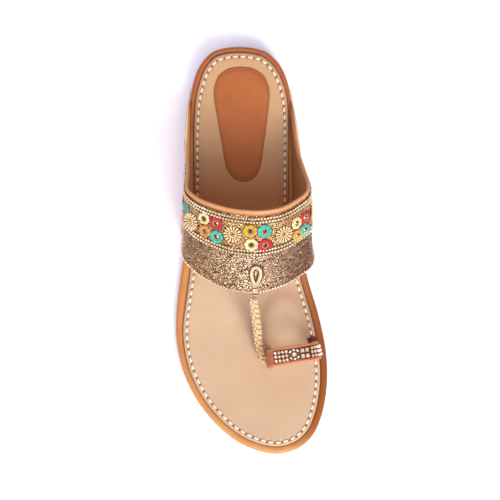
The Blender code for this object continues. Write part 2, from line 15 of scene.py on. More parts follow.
import logging
import math
from dataclasses import dataclass, field
from enum import Enum
from functools import cache
from typing import Callable, NamedTuple, Sequence

import bmesh
import bpy
import numpy as np
from mathutils import Matrix, Vector


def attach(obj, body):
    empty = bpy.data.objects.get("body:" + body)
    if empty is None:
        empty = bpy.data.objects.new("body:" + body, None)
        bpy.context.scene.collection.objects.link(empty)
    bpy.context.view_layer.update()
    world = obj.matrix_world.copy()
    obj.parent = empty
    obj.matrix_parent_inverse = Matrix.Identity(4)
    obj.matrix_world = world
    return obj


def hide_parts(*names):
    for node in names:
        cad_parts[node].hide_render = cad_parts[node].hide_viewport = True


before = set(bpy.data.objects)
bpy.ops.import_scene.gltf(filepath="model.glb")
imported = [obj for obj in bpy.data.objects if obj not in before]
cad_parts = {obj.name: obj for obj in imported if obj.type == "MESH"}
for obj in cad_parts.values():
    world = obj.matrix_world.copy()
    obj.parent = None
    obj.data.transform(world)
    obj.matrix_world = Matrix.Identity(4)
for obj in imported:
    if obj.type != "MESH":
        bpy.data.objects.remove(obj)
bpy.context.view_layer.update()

LOG = logging.getLogger("kolhapuri_chappal")
MM = 0.001
SHOE_LENGTH = 255.0
SEAT_GAP = 0.3

Form, Piece, Material, Socket = bmesh.types.BMesh, bpy.types.Object, bpy.types.Material, bpy.types.NodeSocket
Array = np.ndarray
Surface = Callable[[Array, Array], Array]


# Curves and tables


def column(table: Sequence[tuple], index: int) -> Array:
    """One column of a table, as an array."""
    return np.array([row[index] for row in table], float)


def smooth(at: Array, knots: Array, values: Array) -> Array:
    """Reads a curve through the knots that never overshoots between two.

    Args:
        at: Where to read it.
        knots: The places of the known values, rising.
        values: The known values.

    Returns:
        The value at each place.
    """
    step = np.diff(knots)
    slope = np.diff(values) / step
    tangent = np.zeros(len(knots))
    for i in range(1, len(knots) - 1):
        if slope[i - 1] * slope[i] > 0:
            before = 2 * step[i] + step[i - 1]
            after = step[i] + 2 * step[i - 1]
            tangent[i] = (before + after) / (before / slope[i - 1] + after / slope[i])
    tangent[0], tangent[-1] = slope[0], slope[-1]
    at = np.clip(at, knots[0], knots[-1])
    span = np.clip(np.searchsorted(knots, at, side="right") - 1, 0, len(step) - 1)
    t = (at - knots[span]) / step[span]
    rise = (1 + 2 * t) * (1 - t) ** 2 * values[span] + t * t * (3 - 2 * t) * values[span + 1]
    bend = t * (1 - t) ** 2 * tangent[span] - t * t * (1 - t) * tangent[span + 1]
    return rise + step[span] * bend


def read(table: Sequence[tuple], at: Array, index: int) -> Array:
    """The smooth value of a table's column, its second column being the knots."""
    return smooth(at, column(table, 1), column(table, index))


def rounded(points: Sequence, samples: int, closed: bool) -> Array:
    """Samples a centripetal Catmull-Rom curve through points.

    Args:
        points: The points that it passes.
        samples: How many samples each span gets.
        closed: Whether the last point joins the first.

    Returns:
        The samples, in order.
    """
    points = np.asarray(points, float)
    if closed:
        padded = np.vstack([points[-1], points, points[0], points[1]])
        spans = len(points)
    else:
        padded = np.vstack([2 * points[0] - points[1], points, 2 * points[-1] - points[-2]])
        spans = len(points) - 1
    curve = []
    for i in range(spans):
        p0, p1, p2, p3 = padded[i : i + 4]
        t1 = math.sqrt(np.linalg.norm(p1 - p0))
        t2 = t1 + math.sqrt(np.linalg.norm(p2 - p1))
        t3 = t2 + math.sqrt(np.linalg.norm(p3 - p2))
        for t in np.linspace(t1, t2, samples, endpoint=False):
            a1 = p0 + (p1 - p0) * t / t1
            a2 = p1 + (p2 - p1) * (t - t1) / (t2 - t1)
            a3 = p2 + (p3 - p2) * (t - t2) / (t3 - t2)
            b1 = a1 + (a2 - a1) * t / t2
            b2 = a2 + (a3 - a2) * (t - t1) / (t3 - t1)
            curve.append(b1 + (b2 - b1) * (t - t1) / (t2 - t1))
    if not closed:
        curve.append(points[-1])
    return np.array(curve)


def travelled(curve: Array) -> Array:
    """Distance along a polyline at each of its points."""
    return np.concatenate([[0], np.cumsum(np.linalg.norm(np.diff(curve, axis=0), axis=1))])


def spaced(curve: Array, count: int) -> Array:
    """Points at equal distances along a polyline, its ends included."""
    run = travelled(curve)
    at = np.linspace(0, run[-1], count)
    return np.column_stack([np.interp(at, run, curve[:, i]) for i in range(curve.shape[1])])


def unit(vectors: Array) -> Array:
    """Vectors brought to length one."""
    return vectors / np.linalg.norm(vectors, axis=-1)[..., None]


def square_to(path: Array, side: Array) -> tuple[Array, Array]:
    """Sideways and upright directions that stand square to a path."""
    tangent = unit(np.gradient(path, axis=0))
    side = unit(side - tangent * (side * tangent).sum(axis=1)[:, None])
    return side, np.cross(side, tangent)


def halves(ring: Array, toe: int) -> tuple[Array, Array]:
    """The two sides of a ring that starts at the heel, both from heel to toe."""
    return ring[: toe + 1], np.vstack([ring[toe:], ring[:1]])[::-1]


def whole(part: Array, last: int) -> Array:
    """The whole row, from 0 to the last, that a part of 0 to 1 falls on."""
    return np.rint(part * last).astype(int)


def closing(part: Array, size: Array | float) -> Array:
    """A section's size that is nothing at both ends, so that they close."""
    return np.where((part < 1e-6) | (part > 1 - 1e-6), 0.0, size)


def turned(x: float, y: float, angle: float) -> tuple[float, float]:
    """A flat place turned about the middle."""
    return x * math.cos(angle) - y * math.sin(angle), x * math.sin(angle) + y * math.cos(angle)


def eased(low: float, high: float, turn: Array) -> Array:
    """A value that goes from low to high, gently at both, while a half turn passes."""
    return (low + high) / 2 - (high - low) / 2 * np.cos(turn)


def bump(distance: Array, width: float) -> Array:
    """A soft hill of height one that falls away over a width."""
    return np.exp(-((distance / width) ** 2))


def beside_ears(station: Array) -> Array:
    """One along the waist, where the ears stand, and zero at heel and toe."""
    return np.clip((46 - np.abs(station - 92)) / 14, 0, 1)


def place(points: Array) -> Array:
    """Points (station, across, height) as metres in the shoe's frame."""
    points = np.asarray(points, float)
    return np.stack([points[..., 1], SHOE_LENGTH / 2 - points[..., 0], points[..., 2]], axis=-1) * MM


class Spot(NamedTuple):
    """A place on a face with its own three directions."""

    here: Array
    across: Array
    down: Array
    normal: Array

    def point(self, x: Array | float, y: Array | float, high: Array | float) -> Array:
        """Points off the spot along its directions."""
        off = [np.multiply.outer(size, way) for size, way in zip((x, y, high), self[1:])]
        return self.here + off[0] + off[1] + off[2]

    def round(self, reach: Array, turn: Array, high: Array) -> Array:
        """Points round the spot at a reach and a turn."""
        return self.point(reach * np.cos(turn), reach * np.sin(turn), high)


def skin(rings: Array) -> Surface:
    """The surface through rings of points, u round each and v through them."""

    def surface(u: Array, v: Array) -> Array:
        """A point of the skin."""
        return rings[whole(v, rings.shape[0] - 1), whole(u, rings.shape[1] - 1)]

    return surface


# Making and dressing pieces


class Slot(Enum):
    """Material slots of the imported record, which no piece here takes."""

    RUBBER = "outsole_rubber"
    RIM = "rim_leather"
    SOCK = "sock_leather"
    PAD = "pad_leather"
    STRAP = "strap_leather"
    EMBROIDERY = "embroidery"
    CHAIN = "chain"
    RING = "ring_leather"
    CORD = "cord_thread"
    STEEL = "rivet_steel"


def set_out(name: str, data: bpy.types.ID) -> Piece:
    """Makes an object of some data and sets it out in the scene."""
    made = bpy.data.objects.new(name, data)
    bpy.context.scene.collection.objects.link(made)
    return made


def new_form() -> Form:
    """An empty bmesh that keeps a UV map and a shading mask."""
    form = bmesh.new()
    form.loops.layers.uv.new("UVMap")
    form.verts.layers.float.new("mask")
    return form


def wrapped(
    form: Form,
    columns: int,
    rows: int,
    surface: Surface,
    mask: Surface | None = None,
    material: int = 0,
    close: bool = True,
    capped: bool = False,
) -> list[bmesh.types.BMVert]:
    """Bends a flat grid onto a surface, and merges what falls together.

    Args:
        form: The bmesh that gets the grid.
        columns: Cells along u.
        rows: Cells along v.
        surface: Gives a point (station, across, height) for u and v in 0 to 1.
        mask: Gives the shading mask for u and v, or nothing for zero.
        material: The material index of its faces.
        close: Whether seams and poles are merged.
        capped: Whether its open ends are filled.

    Returns:
        The vertices of the grid that remain.
    """
    made = bmesh.ops.create_grid(form, x_segments=columns, y_segments=rows, size=0.5, calc_uvs=True)
    verts = made["verts"]
    flat = np.array([v.co[:2] for v in verts]) + 0.5
    points = place(surface(flat[:, 0], flat[:, 1]))
    shade = np.zeros(len(verts)) if mask is None else np.broadcast_to(mask(flat[:, 0], flat[:, 1]), len(verts))
    layer = form.verts.layers.float["mask"]
    for vert, point, value in zip(verts, points, shade):
        vert.co = point
        vert[layer] = value
    for face in {f for v in verts for f in v.link_faces}:
        face.material_index = material
    if close:
        bmesh.ops.remove_doubles(form, verts=verts, dist=0.004 * MM)
    if capped:
        bmesh.ops.holes_fill(form, edges=[e for e in form.edges if e.is_boundary])
    return [v for v in verts if v.is_valid]


def settle(made: dict, where: Callable[[float, float, float], Array]) -> None:
    """Sets a new small solid's vertices to the places that a function gives."""
    for vert in made["verts"]:
        vert.co = Vector(place(where(*vert.co)))


def two_faced(
    form: Form, columns: int, rows: int, front: Surface, back: Surface, mask: Surface | None = None
) -> None:
    """Makes a bent wall from two facing sheets, bridged along their edges.

    Args:
        form: The bmesh that gets it.
        columns: Cells along u.
        rows: Cells along v.
        front: The outer face, which takes the first finish.
        back: The inner face, which takes the second.
        mask: The shading mask of both.
    """
    verts = wrapped(form, columns, rows, front, mask, 0, close=False)
    verts += wrapped(form, columns, rows, back, mask, 1, close=False)
    bmesh.ops.bridge_loops(form, edges=list({e for v in verts for e in v.link_edges if e.is_boundary}))


def finished(
    name: str,
    form: Form,
    finishes: Sequence[Finish],
    stands_for: Sequence[str] = (),
    sharp: float = 40.0,
) -> Piece:
    """Turns a bmesh into a piece that rides on the shoe.

    Args:
        name: The piece's name.
        form: The bmesh, which is freed.
        finishes: Its finishes, by face index.
        stands_for: CAD nodes that it replaces.
        sharp: Angle in degrees past which an edge stays crisp.

    Returns:
        The piece.
    """
    bmesh.ops.recalc_face_normals(form, faces=form.faces)
    mesh = bpy.data.meshes.new(name)
    form.to_mesh(mesh)
    form.free()
    for finish in finishes:
        mesh.materials.append(material_of(finish))
    mesh.shade_smooth()
    mesh.set_sharp_from_angle(angle=math.radians(sharp))
    piece = set_out(name, mesh)
    if stands_for:
        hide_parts(*stands_for)
    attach(piece, "root")
    LOG.info("%s: %d faces", name, len(mesh.polygons))
    return piece


def swept(
    form: Form,
    path: Array,
    side: Array,
    section: Callable[[Array, Array], tuple[Array, Array]],
    around: int,
    mask: Surface | None = None,
    material: int = 0,
) -> None:
    """Sweeps a closed section along a path.

    Args:
        form: The bmesh that gets it.
        path: Points (station, across, height) along the path.
        side: The section's sideways direction at each point.
        section: Gives sideways and upward offsets for turn and part along.
        around: Cells round the section.
        mask: The shading mask for part round and part along.
        material: The material index.
    """
    side, up = square_to(path, side)
    up *= np.where(up[:, 2:3] < 0, -1.0, 1.0) if abs(up[:, 2].mean()) > 0.05 else 1.0
    last = len(path) - 1

    def surface(u: Array, v: Array) -> Array:
        """A point of the swept skin."""
        row = whole(v, last)
        wide, high = section(math.tau * u, v)
        return path[row] + side[row] * wide[:, None] + up[row] * high[:, None]

    wrapped(form, around, last, surface, mask, material)


# The shoe's own shape, from the sizes of its CAD source


@dataclass
class SoleShape:
    """Plan and profile of the sole, shared by every piece that lies on it."""

    ball_width: float = 95.2
    outsole: float = 3.0
    midsole: float = 5.0
    sock: float = 1.8
    heel_tip: float = -7.8
    toe_tip: float = 15.5
    # station, outer edge and inner edge
    plan: tuple = (
        ("heel_round", 2.5, -23.0, 7.6),
        ("heel_shoulder", 7.0, -28.8, 14.0),
        ("heel_side", 14.0, -33.6, 19.3),
        ("heel_wide", 25.0, -37.2, 23.4),
        ("seat", 38.0, -39.0, 25.2),
        ("seat_front", 60.0, -39.9, 26.0),
        ("waist", 85.0, -40.1, 26.6),
        ("arch", 110.0, -40.9, 28.4),
        ("arch_front", 133.0, -43.1, 32.2),
        ("ball_back", 150.0, -45.6, 36.6),
        ("ball", 165.0, -47.2, 41.2),
        ("outer_ball", 177.0, -47.6, 44.2),
        ("toe_bend", 190.0, -46.4, 46.6),
        ("inner_ball", 205.0, -42.5, 47.6),
        ("toe_wide", 220.0, -35.3, 46.4),
        ("toe_shoulder", 232.0, -26.6, 43.6),
        ("toe_round", 243.0, -15.2, 38.6),
        ("toe_front", 251.0, -2.0, 30.0),
    )
    # station and height of the outsole's underside over the floor
    underside: tuple = (
        ("heel", 0.0, 6.6),
        ("breast", 66.0, 5.0),
        ("waist", 92.0, 3.7),
        ("arch", 122.0, 2.0),
        ("tread_back", 148.0, 0.0),
        ("tread_front", 172.0, 0.0),
        ("toe_start", 182.0, 0.7),
        ("toe_bend", 192.0, 2.2),
        ("toe_rise", 213.0, 6.2),
        ("toe_lift", 234.0, 11.5),
        ("toe_tip", 255.0, 17.6),
    )
    # station, bare rim on the outer side and on the inner side
    rim: tuple = (
        ("heel", 0.0, 3.9, 3.9),
        ("heel_side", 18.0, 4.2, 3.5),
        ("seat", 42.0, 3.6, 2.6),
        ("waist", 80.0, 3.8, 3.2),
        ("arch", 115.0, 4.6, 4.8),
        ("ball_back", 150.0, 6.0, 4.8),
        ("ball", 182.0, 4.6, 5.0),
        ("toe_bend", 212.0, 4.3, 4.7),
        ("toe", 255.0, 4.9, 4.9),
    )
    outline: Array = field(init=False)
    toe_index: int = field(init=False)

    def __post_init__(self) -> None:
        """Draws the outline once."""
        widen = self.ball_width / (column(self.plan, 3).max() - column(self.plan, 2).min())
        inner = [(row[1], row[3] * widen) for row in self.plan]
        outer = [(row[1], row[2] * widen) for row in reversed(self.plan)]
        ring = [(0.0, self.heel_tip), *inner, (SHOE_LENGTH, self.toe_tip), *outer]
        self.outline = rounded(ring, 12, closed=True)
        self.toe_index = (len(self.plan) + 1) * 12

    def edge(self, station: Array, inner: bool) -> Array:
        """How far across the sole's edge lies at a station, on one side."""
        half = halves(self.outline, self.toe_index)[0 if inner else 1]
        return np.interp(station, half[:, 0], half[:, 1])

    def under(self, station: Array) -> Array:
        """Height of the outsole's underside over the floor."""
        return read(self.underside, station, 2)

    def rim_width(self) -> Array:
        """The bare rim's width at each point of the outline."""
        outer = read(self.rim, self.outline[:, 0], 2)
        inner = read(self.rim, self.outline[:, 0], 3)
        return np.where(np.arange(len(self.outline)) <= self.toe_index, inner, outer)

    def sock_top(self, station: Array) -> Array:
        """Height of the sock's upper face."""
        return self.under(station) + self.outsole + self.midsole + self.sock + 2 * SEAT_GAP

    def ring(self, inset: Array | float, steps: int) -> tuple[Array, Array, Array]:
        """The outline moved inwards, with both sides read at the same stations.

        Args:
            inset: How far, for the whole outline or for each of its points.
            steps: Cells along each side, from heel tip to toe tip.

        Returns:
            The stations, and the inner and the outer side's place across.
        """
        along = np.roll(self.outline, -1, axis=0) - np.roll(self.outline, 1, axis=0)
        inward = unit(np.column_stack([-along[:, 1], along[:, 0]]))
        turn = np.sign(((self.outline.mean(axis=0) - self.outline) * inward).sum(axis=1))
        ring = self.outline + inward * turn[:, None] * np.reshape(inset, (-1, 1))
        heel, toe = np.argmin(ring[:, 0]), np.argmax(ring[:, 0])
        ring = np.roll(ring, -heel, axis=0)
        toe = (toe - heel) % len(ring)
        inner, outer = halves(ring, toe)
        stations = eased(inner[0, 0], inner[-1, 0], np.linspace(0, math.pi, steps + 1))
        return (
            stations,
            np.interp(stations, inner[:, 0], inner[:, 1]),
            np.interp(stations, outer[:, 0], outer[:, 1]),
        )

    def layer(self, levels: Sequence[tuple], steps: int) -> Surface:
        """The skin of a layer of the sole, wrapped round its edge.

        Args:
            levels: For each level the inset, the height over the underside
                and how far the level is squeezed onto the middle line.
            steps: Cells along each side.

        Returns:
            A surface whose u runs round the edge and v through the levels.
        """
        rings = []
        for inset, lift, squeeze in levels:
            stations, inner, outer = self.ring(inset, steps)
            middle = (inner + outer) / 2
            sides = [middle + (side - middle) * (1 - squeeze) for side in (inner, outer)]
            across = np.concatenate([sides[0], sides[1][-2::-1]])
            at = np.concatenate([stations, stations[-2::-1]])
            across[[0, -1]] = across[[0, -1]].mean()
            rings.append(np.column_stack([at, across, self.under(at) + lift]))
        return skin(np.array(rings))


@dataclass
class SideShape:
    """Outer faces of the shoe's two sides, where the ears stand."""

    sole: SoleShape
    ear_overlap: float = 0.4
    outer_lean: float = -0.8
    inner_lean: float = 9.0
    rear_lean: float = 0.6
    rear_stations: tuple = (45.0, 95.0)
    lean_height: float = 47.0
    lean_curve: float = 1.2

    def hem(self, station: Array) -> Array:
        """Height of the ears' lower hem, just over the outsole."""
        return self.sole.under(station) + self.sole.outsole + SEAT_GAP + 0.3

    def across(self, station: Array, height: Array, inner: bool) -> Array:
        """Place across of a side's face, leaning out as it rises."""
        clear = SEAT_GAP + self.ear_overlap
        over = np.clip(height - self.hem(station) - self.sole.midsole, 0, None)
        part = np.minimum(over / self.lean_height, 1.0) ** self.lean_curve
        part = part * np.interp(station, self.rear_stations, (self.rear_lean, 1.0))
        if inner:
            return self.sole.edge(station, True) + clear + self.inner_lean * part
        return self.sole.edge(station, False) - clear - self.outer_lean * part


@dataclass
class BandShape:
    """The instep band's face: girth counts sections, along runs back to front."""

    side: SideShape
    wall: float = 1.8
    # back edge (station, across, height), front edge, and how far the
    # section hugs the side of the shoe
    sections: tuple = (
        ("outer_low", 38.0, -40.6, 15.6, 119.5, -42.2, 11.8, 1.0),
        ("outer_mid", 52.5, -41.2, 27.5, 119.0, -42.5, 22.0, 1.0),
        ("outer_crossing", 66.0, -41.8, 37.0, 119.5, -42.8, 33.0, 1.0),
        ("outer_side", 77.0, -42.2, 51.0, 125.5, -42.9, 40.0, 1.0),
        ("outer_shoulder", 87.5, -41.0, 63.5, 132.0, -42.0, 44.6, 0.3),
        ("outer_slope", 94.5, -35.0, 71.5, 140.0, -36.5, 47.8, 0.0),
        ("outer_crown", 99.5, -24.0, 78.0, 147.6, -25.5, 50.2, 0.0),
        ("crown_back", 103.0, -9.5, 82.2, 153.4, -10.5, 51.4, 0.0),
        ("crown", 104.0, 3.0, 83.0, 154.6, 2.0, 51.6, 0.0),
        ("inner_crown", 102.6, 15.5, 81.0, 151.4, 16.0, 51.2, 0.0),
        ("inner_slope", 97.5, 27.0, 74.5, 144.6, 28.8, 49.0, 0.0),
        ("inner_shoulder", 88.5, 35.2, 64.0, 136.4, 37.0, 45.2, 0.3),
        ("inner_side", 77.0, 34.8, 51.0, 127.0, 38.0, 40.4, 1.0),
        ("inner_crossing", 66.0, 31.4, 37.0, 119.5, 36.0, 33.0, 1.0),
        ("inner_mid", 52.5, 28.8, 27.5, 119.0, 32.6, 22.0, 1.0),
        ("inner_low", 38.0, 27.0, 15.6, 119.5, 30.4, 11.8, 1.0),
    )

    @property
    def ends(self) -> float:
        """The girth at the inner low end."""
        return len(self.sections) - 1.0

    def bare(self, girth: Array, along: Array) -> Array:
        """A point of the face itself."""
        knots = np.arange(len(self.sections), dtype=float)
        girth_in = np.clip(girth, 0, self.ends)
        values = [smooth(girth_in, knots, column(self.sections, i)) for i in range(1, 8)]
        point = [b + (f - b) * along for b, f in zip(values[:3], values[3:6])]
        sides = [self.side.across(point[0], point[2], inner) for inner in (True, False)]
        side = np.where(girth > self.ends / 2, *sides)
        point[1] = point[1] + values[6] * (side - point[1])
        return np.stack(np.broadcast_arrays(*point), axis=-1)

    def frame_at(self, girth: Array, along: Array) -> tuple[Array, Array, Array, Array]:
        """The face's point with its own directions there.

        Args:
            girth: Place over the girth.
            along: Place from the back edge to the front edge, 0 to 1.

        Returns:
            The point, and unit vectors across the foot, towards the front
            edge and outwards.
        """
        step = 0.02
        girth, along = np.broadcast_arrays(np.asarray(girth, float), np.asarray(along, float))
        here = self.bare(girth, along)
        across = self.bare(girth + step, along) - self.bare(girth - step, along)
        down = self.bare(girth, along + step) - self.bare(girth, along - step)
        normal, across = unit(np.cross(down, across)), unit(across)
        return here, across, np.cross(across, normal), normal

    def spots(self, girth: Array, along: Array | float) -> list[Spot]:
        """The face's spots at a number of girths."""
        return [Spot(*spot) for spot in zip(*self.frame_at(girth, along))]

    def spot(self, girth: float, along: float) -> Spot:
        """The face's spot at one place."""
        return self.spots(np.array([girth]), along)[0]

    def face(self, girth: Array, along: Array, lift: Array | float = 0.0) -> Array:
        """A point lifted off the face."""
        here, _, _, normal = self.frame_at(girth, along)
        return here + normal * np.reshape(lift, np.shape(lift) + (1,))

    def strip(self, profile: Sequence[tuple], margin: float) -> Surface:
        """A strip over the band, from a profile of places along and lifts."""
        along, lift = np.array(profile).T

        def surface(u: Array, v: Array) -> Array:
            """A point of the strip."""
            row = whole(v, len(profile) - 1)
            return self.face(margin + u * (self.ends - 2 * margin), along[row], lift[row])

        return surface

    def run(self, along: float, first: float, last: float, pitch: float) -> Array:
        """Girths of evenly spaced places along one line over the band."""
        girth = np.linspace(first, last, 400)
        line = self.bare(girth, along)
        length = travelled(line)
        count = max(2, int(round(length[-1] / pitch)) + 1)
        return np.interp(np.linspace(0, length[-1], count), length, girth)

    def find(self, station: float, across: float) -> tuple[float, float]:
        """The girth and along that lie straight under a place in plan."""
        girth, along = np.meshgrid(np.linspace(3.5, 12.5, 361), np.linspace(0, 1, 201))
        points = self.bare(girth, along)
        gap = (points[..., 0] - station) ** 2 + (points[..., 1] - across) ** 2
        best = np.unravel_index(np.argmin(gap), gap.shape)
        return float(girth[best]), float(along[best])


# Finishes


def tint(red: int, green: int, blue: int) -> tuple[float, float, float, float]:
    """A colour given on a 0 to 255 scale, as the shader wants it."""
    parts = [c / 255 for c in (red, green, blue)]
    parts = [c / 12.92 if c <= 0.04045 else ((c + 0.055) / 1.055) ** 2.4 for c in parts]
    return (*parts, 1.0)


def numbered(values: Sequence) -> dict[str, object]:
    """Values under the names that Nodes.add takes for inputs by number."""
    return {f"i{i}": value for i, value in enumerate(values)}


def give(node: bpy.types.Node, values: dict[str, object]) -> None:
    """Sets values on a node's own sockets."""
    for key, value in values.items():
        node.inputs[key].default_value = value


# kinds of the effects' sockets that aren't plain numbers
KINDS = {"Normal": "Vector", **dict.fromkeys(("Color", "Base", "Shade", "Edge", "Deep", "Bright", "Dust"), "Color")}


class Nodes:
    """A short way to add and join the nodes of one tree."""

    def __init__(self, tree: bpy.types.NodeTree) -> None:
        """Starts on a tree."""
        self.tree = tree
        self.count = 0

    def add(self, kind: str, settings: dict | None = None, **inputs: object) -> bpy.types.Node:
        """Adds a node.

        Args:
            kind: Its type, without the leading ShaderNode.
            settings: Properties to set on it.
            inputs: Values or output sockets for its inputs, spaces as _.

        Returns:
            The node.
        """
        node = self.tree.nodes.new("ShaderNode" + kind)
        node.location = (220 * (self.count // 4), -180 * (self.count % 4))
        self.count += 1
        for key, value in (settings or {}).items():
            setattr(node, key, value)
        for key, value in inputs.items():
            socket = node.inputs[int(key[1:])] if key[1:].isdigit() else node.inputs[key.replace("_", " ")]
            if isinstance(value, Socket):
                self.tree.links.new(value, socket)
            else:
                socket.default_value = value
        return node

    def maths(self, operation: str, *values: object, clamp: bool = False) -> Socket:
        """The result of a sum or product of sockets and numbers."""
        settings = {"operation": operation, "use_clamp": clamp}
        return self.add("Math", settings, **numbered(values)).outputs[0]

    def vector(self, operation: str, *values: object) -> Socket:
        """The result of a sum or product of vectors."""
        return self.add("VectorMath", {"operation": operation}, **numbered(values)).outputs[0]

    def where(self) -> Socket:
        """The place on the piece that is being shaded."""
        return self.add("TexCoord").outputs["Object"]

    def borders(self, scale: object) -> Socket:
        """Distance to the border between cells, of a scale per metre."""
        settings = {"feature": "DISTANCE_TO_EDGE"}
        return self.add("TexVoronoi", settings, Vector=self.where(), Scale=scale).outputs["Distance"]

    def noise(self, scale: object, detail: float, roughness: float = 0.5) -> Socket:
        """Soft noise in space, of a scale per metre."""
        values = {"Scale": scale, "Detail": detail, "Roughness": roughness}
        return self.add("TexNoise", None, Vector=self.where(), **values).outputs[0]

    def blend(self, factor: object, first: object, second: object, how: str = "MIX") -> Socket:
        """A colour between two others."""
        settings = {"data_type": "RGBA", "blend_type": how, "clamp_factor": True}
        return self.add("Mix", settings, i0=factor, i6=first, i7=second).outputs[2]

    def between(
        self, value: object, low: float, high: float, start: float = 0.0, end: float = 1.0
    ) -> Socket:
        """A value moved from one range to another, held at its ends."""
        return self.add("MapRange", None, **numbered((value, low, high, start, end))).outputs[0]


@cache
def effect(fill: Callable[[Nodes, dict], dict], inputs: tuple[str, ...]) -> bpy.types.NodeTree:
    """Makes a shader node group, once for all the finishes that share it.

    Args:
        fill: Builds the inside, given the nodes and the inputs by name, and
            returns the sockets of the outputs by name. Its name is the group's.
        inputs: Names of the inputs.

    Returns:
        The group.
    """
    tree = bpy.data.node_groups.new(fill.__name__, "ShaderNodeTree")
    entry, leave = tree.nodes.new("NodeGroupInput"), tree.nodes.new("NodeGroupOutput")
    entry.location, leave.location = (-300, 0), (1800, 0)
    for key in inputs:
        tree.interface.new_socket(key, in_out="INPUT", socket_type="NodeSocket" + KINDS.get(key, "Float"))
    for key, socket in fill(Nodes(tree), {key: entry.outputs[key] for key in inputs}).items():
        tree.interface.new_socket(key, in_out="OUTPUT", socket_type="NodeSocket" + KINDS.get(key, "Float"))
        tree.links.new(socket, leave.inputs[key])
    return tree


def leather_hide(n: Nodes, i: dict) -> dict:
    """Pebbled grain, soft mottling, and through the mask pressed lines, rubbed edges and painted shade of leather."""
    pebble = n.between(n.borders(i["Grain"]), 0.0, 0.22)
    cloud = n.between(n.noise(42.0, 4.0, 0.6), 0.32, 0.70)
    pore = n.noise(n.maths("MULTIPLY", i["Grain"], 2.2), 3.0)
    crack = n.maths("SUBTRACT", 1.0, pebble)
    colour = n.blend(n.maths("MULTIPLY", cloud, i["Mottle"]), i["Base"], i["Shade"])
    colour = n.blend(n.maths("MULTIPLY", crack, 0.28), colour, i["Shade"])
    # the mask mixes in the mark colour: real edges and lines on some pieces, painted shade in grooves, holes and
    # under the rim on others
    colour = n.blend(i["Pressed"], colour, i["Edge"])
    rough = n.maths("ADD", i["Rough"], n.maths("MULTIPLY", n.maths("SUBTRACT", pore, 0.5), 0.22))
    rough = n.maths("ADD", rough, n.maths("MULTIPLY", crack, 0.08), clamp=True)
    height = n.maths("ADD", n.maths("MULTIPLY", pebble, 0.6), n.maths("MULTIPLY", pore, 0.4))
    height = n.maths("ADD", height, n.maths("MULTIPLY", cloud, 0.9))
    return {"Color": colour, "Roughness": rough, "Height": height}


def glitter_grains(n: Nodes, i: dict) -> dict:
    """Grains of glitter that each face their own way."""
    grain = n.add("TexVoronoi", None, Vector=n.where(), Scale=i["Grain"], Randomness=1.0)
    lot, glow, _ = n.add("SeparateColor", None, Color=grain.outputs["Color"]).outputs
    drift = n.maths("MULTIPLY", n.maths("SUBTRACT", n.noise(55.0, 3.0), 0.5), 0.22)
    lot = n.maths("ADD", lot, drift, clamp=True)
    colour = n.blend(n.between(lot, 0.12, 0.62), i["Deep"], i["Base"])
    colour = n.blend(n.between(lot, 0.60, 0.98), colour, i["Bright"])
    colour = n.blend(n.between(n.borders(i["Grain"]), 0.0, 0.05, 0.55, 0.0), colour, i["Deep"])
    lean = n.vector("SUBTRACT", grain.outputs["Color"], (0.5, 0.5, 0.5))
    lean = n.add("VectorMath", {"operation": "SCALE"}, i0=lean, Scale=i["Tilt"]).outputs[0]
    face = n.vector("NORMALIZE", n.vector("ADD", n.add("NewGeometry").outputs["Normal"], lean))
    return {"Color": colour, "Roughness": n.between(glow, 0.0, 1.0, 0.16, 0.5), "Normal": face}


def laid_threads(n: Nodes, i: dict) -> dict:
    """Fine twisted threads that run along the first direction of the UV map, with painted shade where the mask lays
    it.
    """
    length, breadth, _ = n.add("SeparateXYZ", None, Vector=n.add("TexCoord").outputs["UV"]).outputs
    twist = n.maths("ADD", n.maths("MULTIPLY", breadth, i["Threads"]), n.maths("MULTIPLY", length, i["Twist"]))
    wave = n.between(n.maths("SINE", n.maths("MULTIPLY", twist, math.tau)), -1.0, 1.0)
    fuzz = n.noise(900.0, 2.0)
    colour = n.blend(n.between(wave, 0.0, 0.55, 0.75, 0.0), i["Base"], i["Deep"])
    colour = n.blend(n.between(fuzz, 0.5, 0.8, 0.0, 0.5), colour, i["Bright"])
    # painted shade: the mask darkens the thread where it lies under or between others
    colour = n.blend(i["Pressed"], colour, i["Deep"])
    rough = n.between(n.maths("ADD", wave, fuzz), 0.3, 1.5, 0.62, 0.36)
    return {"Color": colour, "Roughness": rough, "Height": n.maths("ADD", wave, n.maths("MULTIPLY", fuzz, 0.3))}


def rubber_scuff(n: Nodes, i: dict) -> dict:
    """Moulded rubber with a dull bloom, fine pits and dusty scuffs."""
    pit = n.noise(1500.0, 2.0)
    bloom = n.noise(60.0, 6.0, 0.7)
    low = n.add("SeparateXYZ", None, Vector=n.where()).outputs[2]
    dust = n.maths("MULTIPLY", n.between(low, 0.0, 0.004, 0.55, 0.08), n.between(bloom, 0.42, 0.66))
    colour = n.blend(dust, i["Base"], i["Dust"])
    rough = n.maths("ADD", i["Rough"], n.maths("MULTIPLY", n.maths("ADD", dust, pit), 0.25), clamp=True)
    return {"Color": colour, "Roughness": rough, "Height": n.maths("ADD", pit, n.maths("MULTIPLY", bloom, 0.8))}


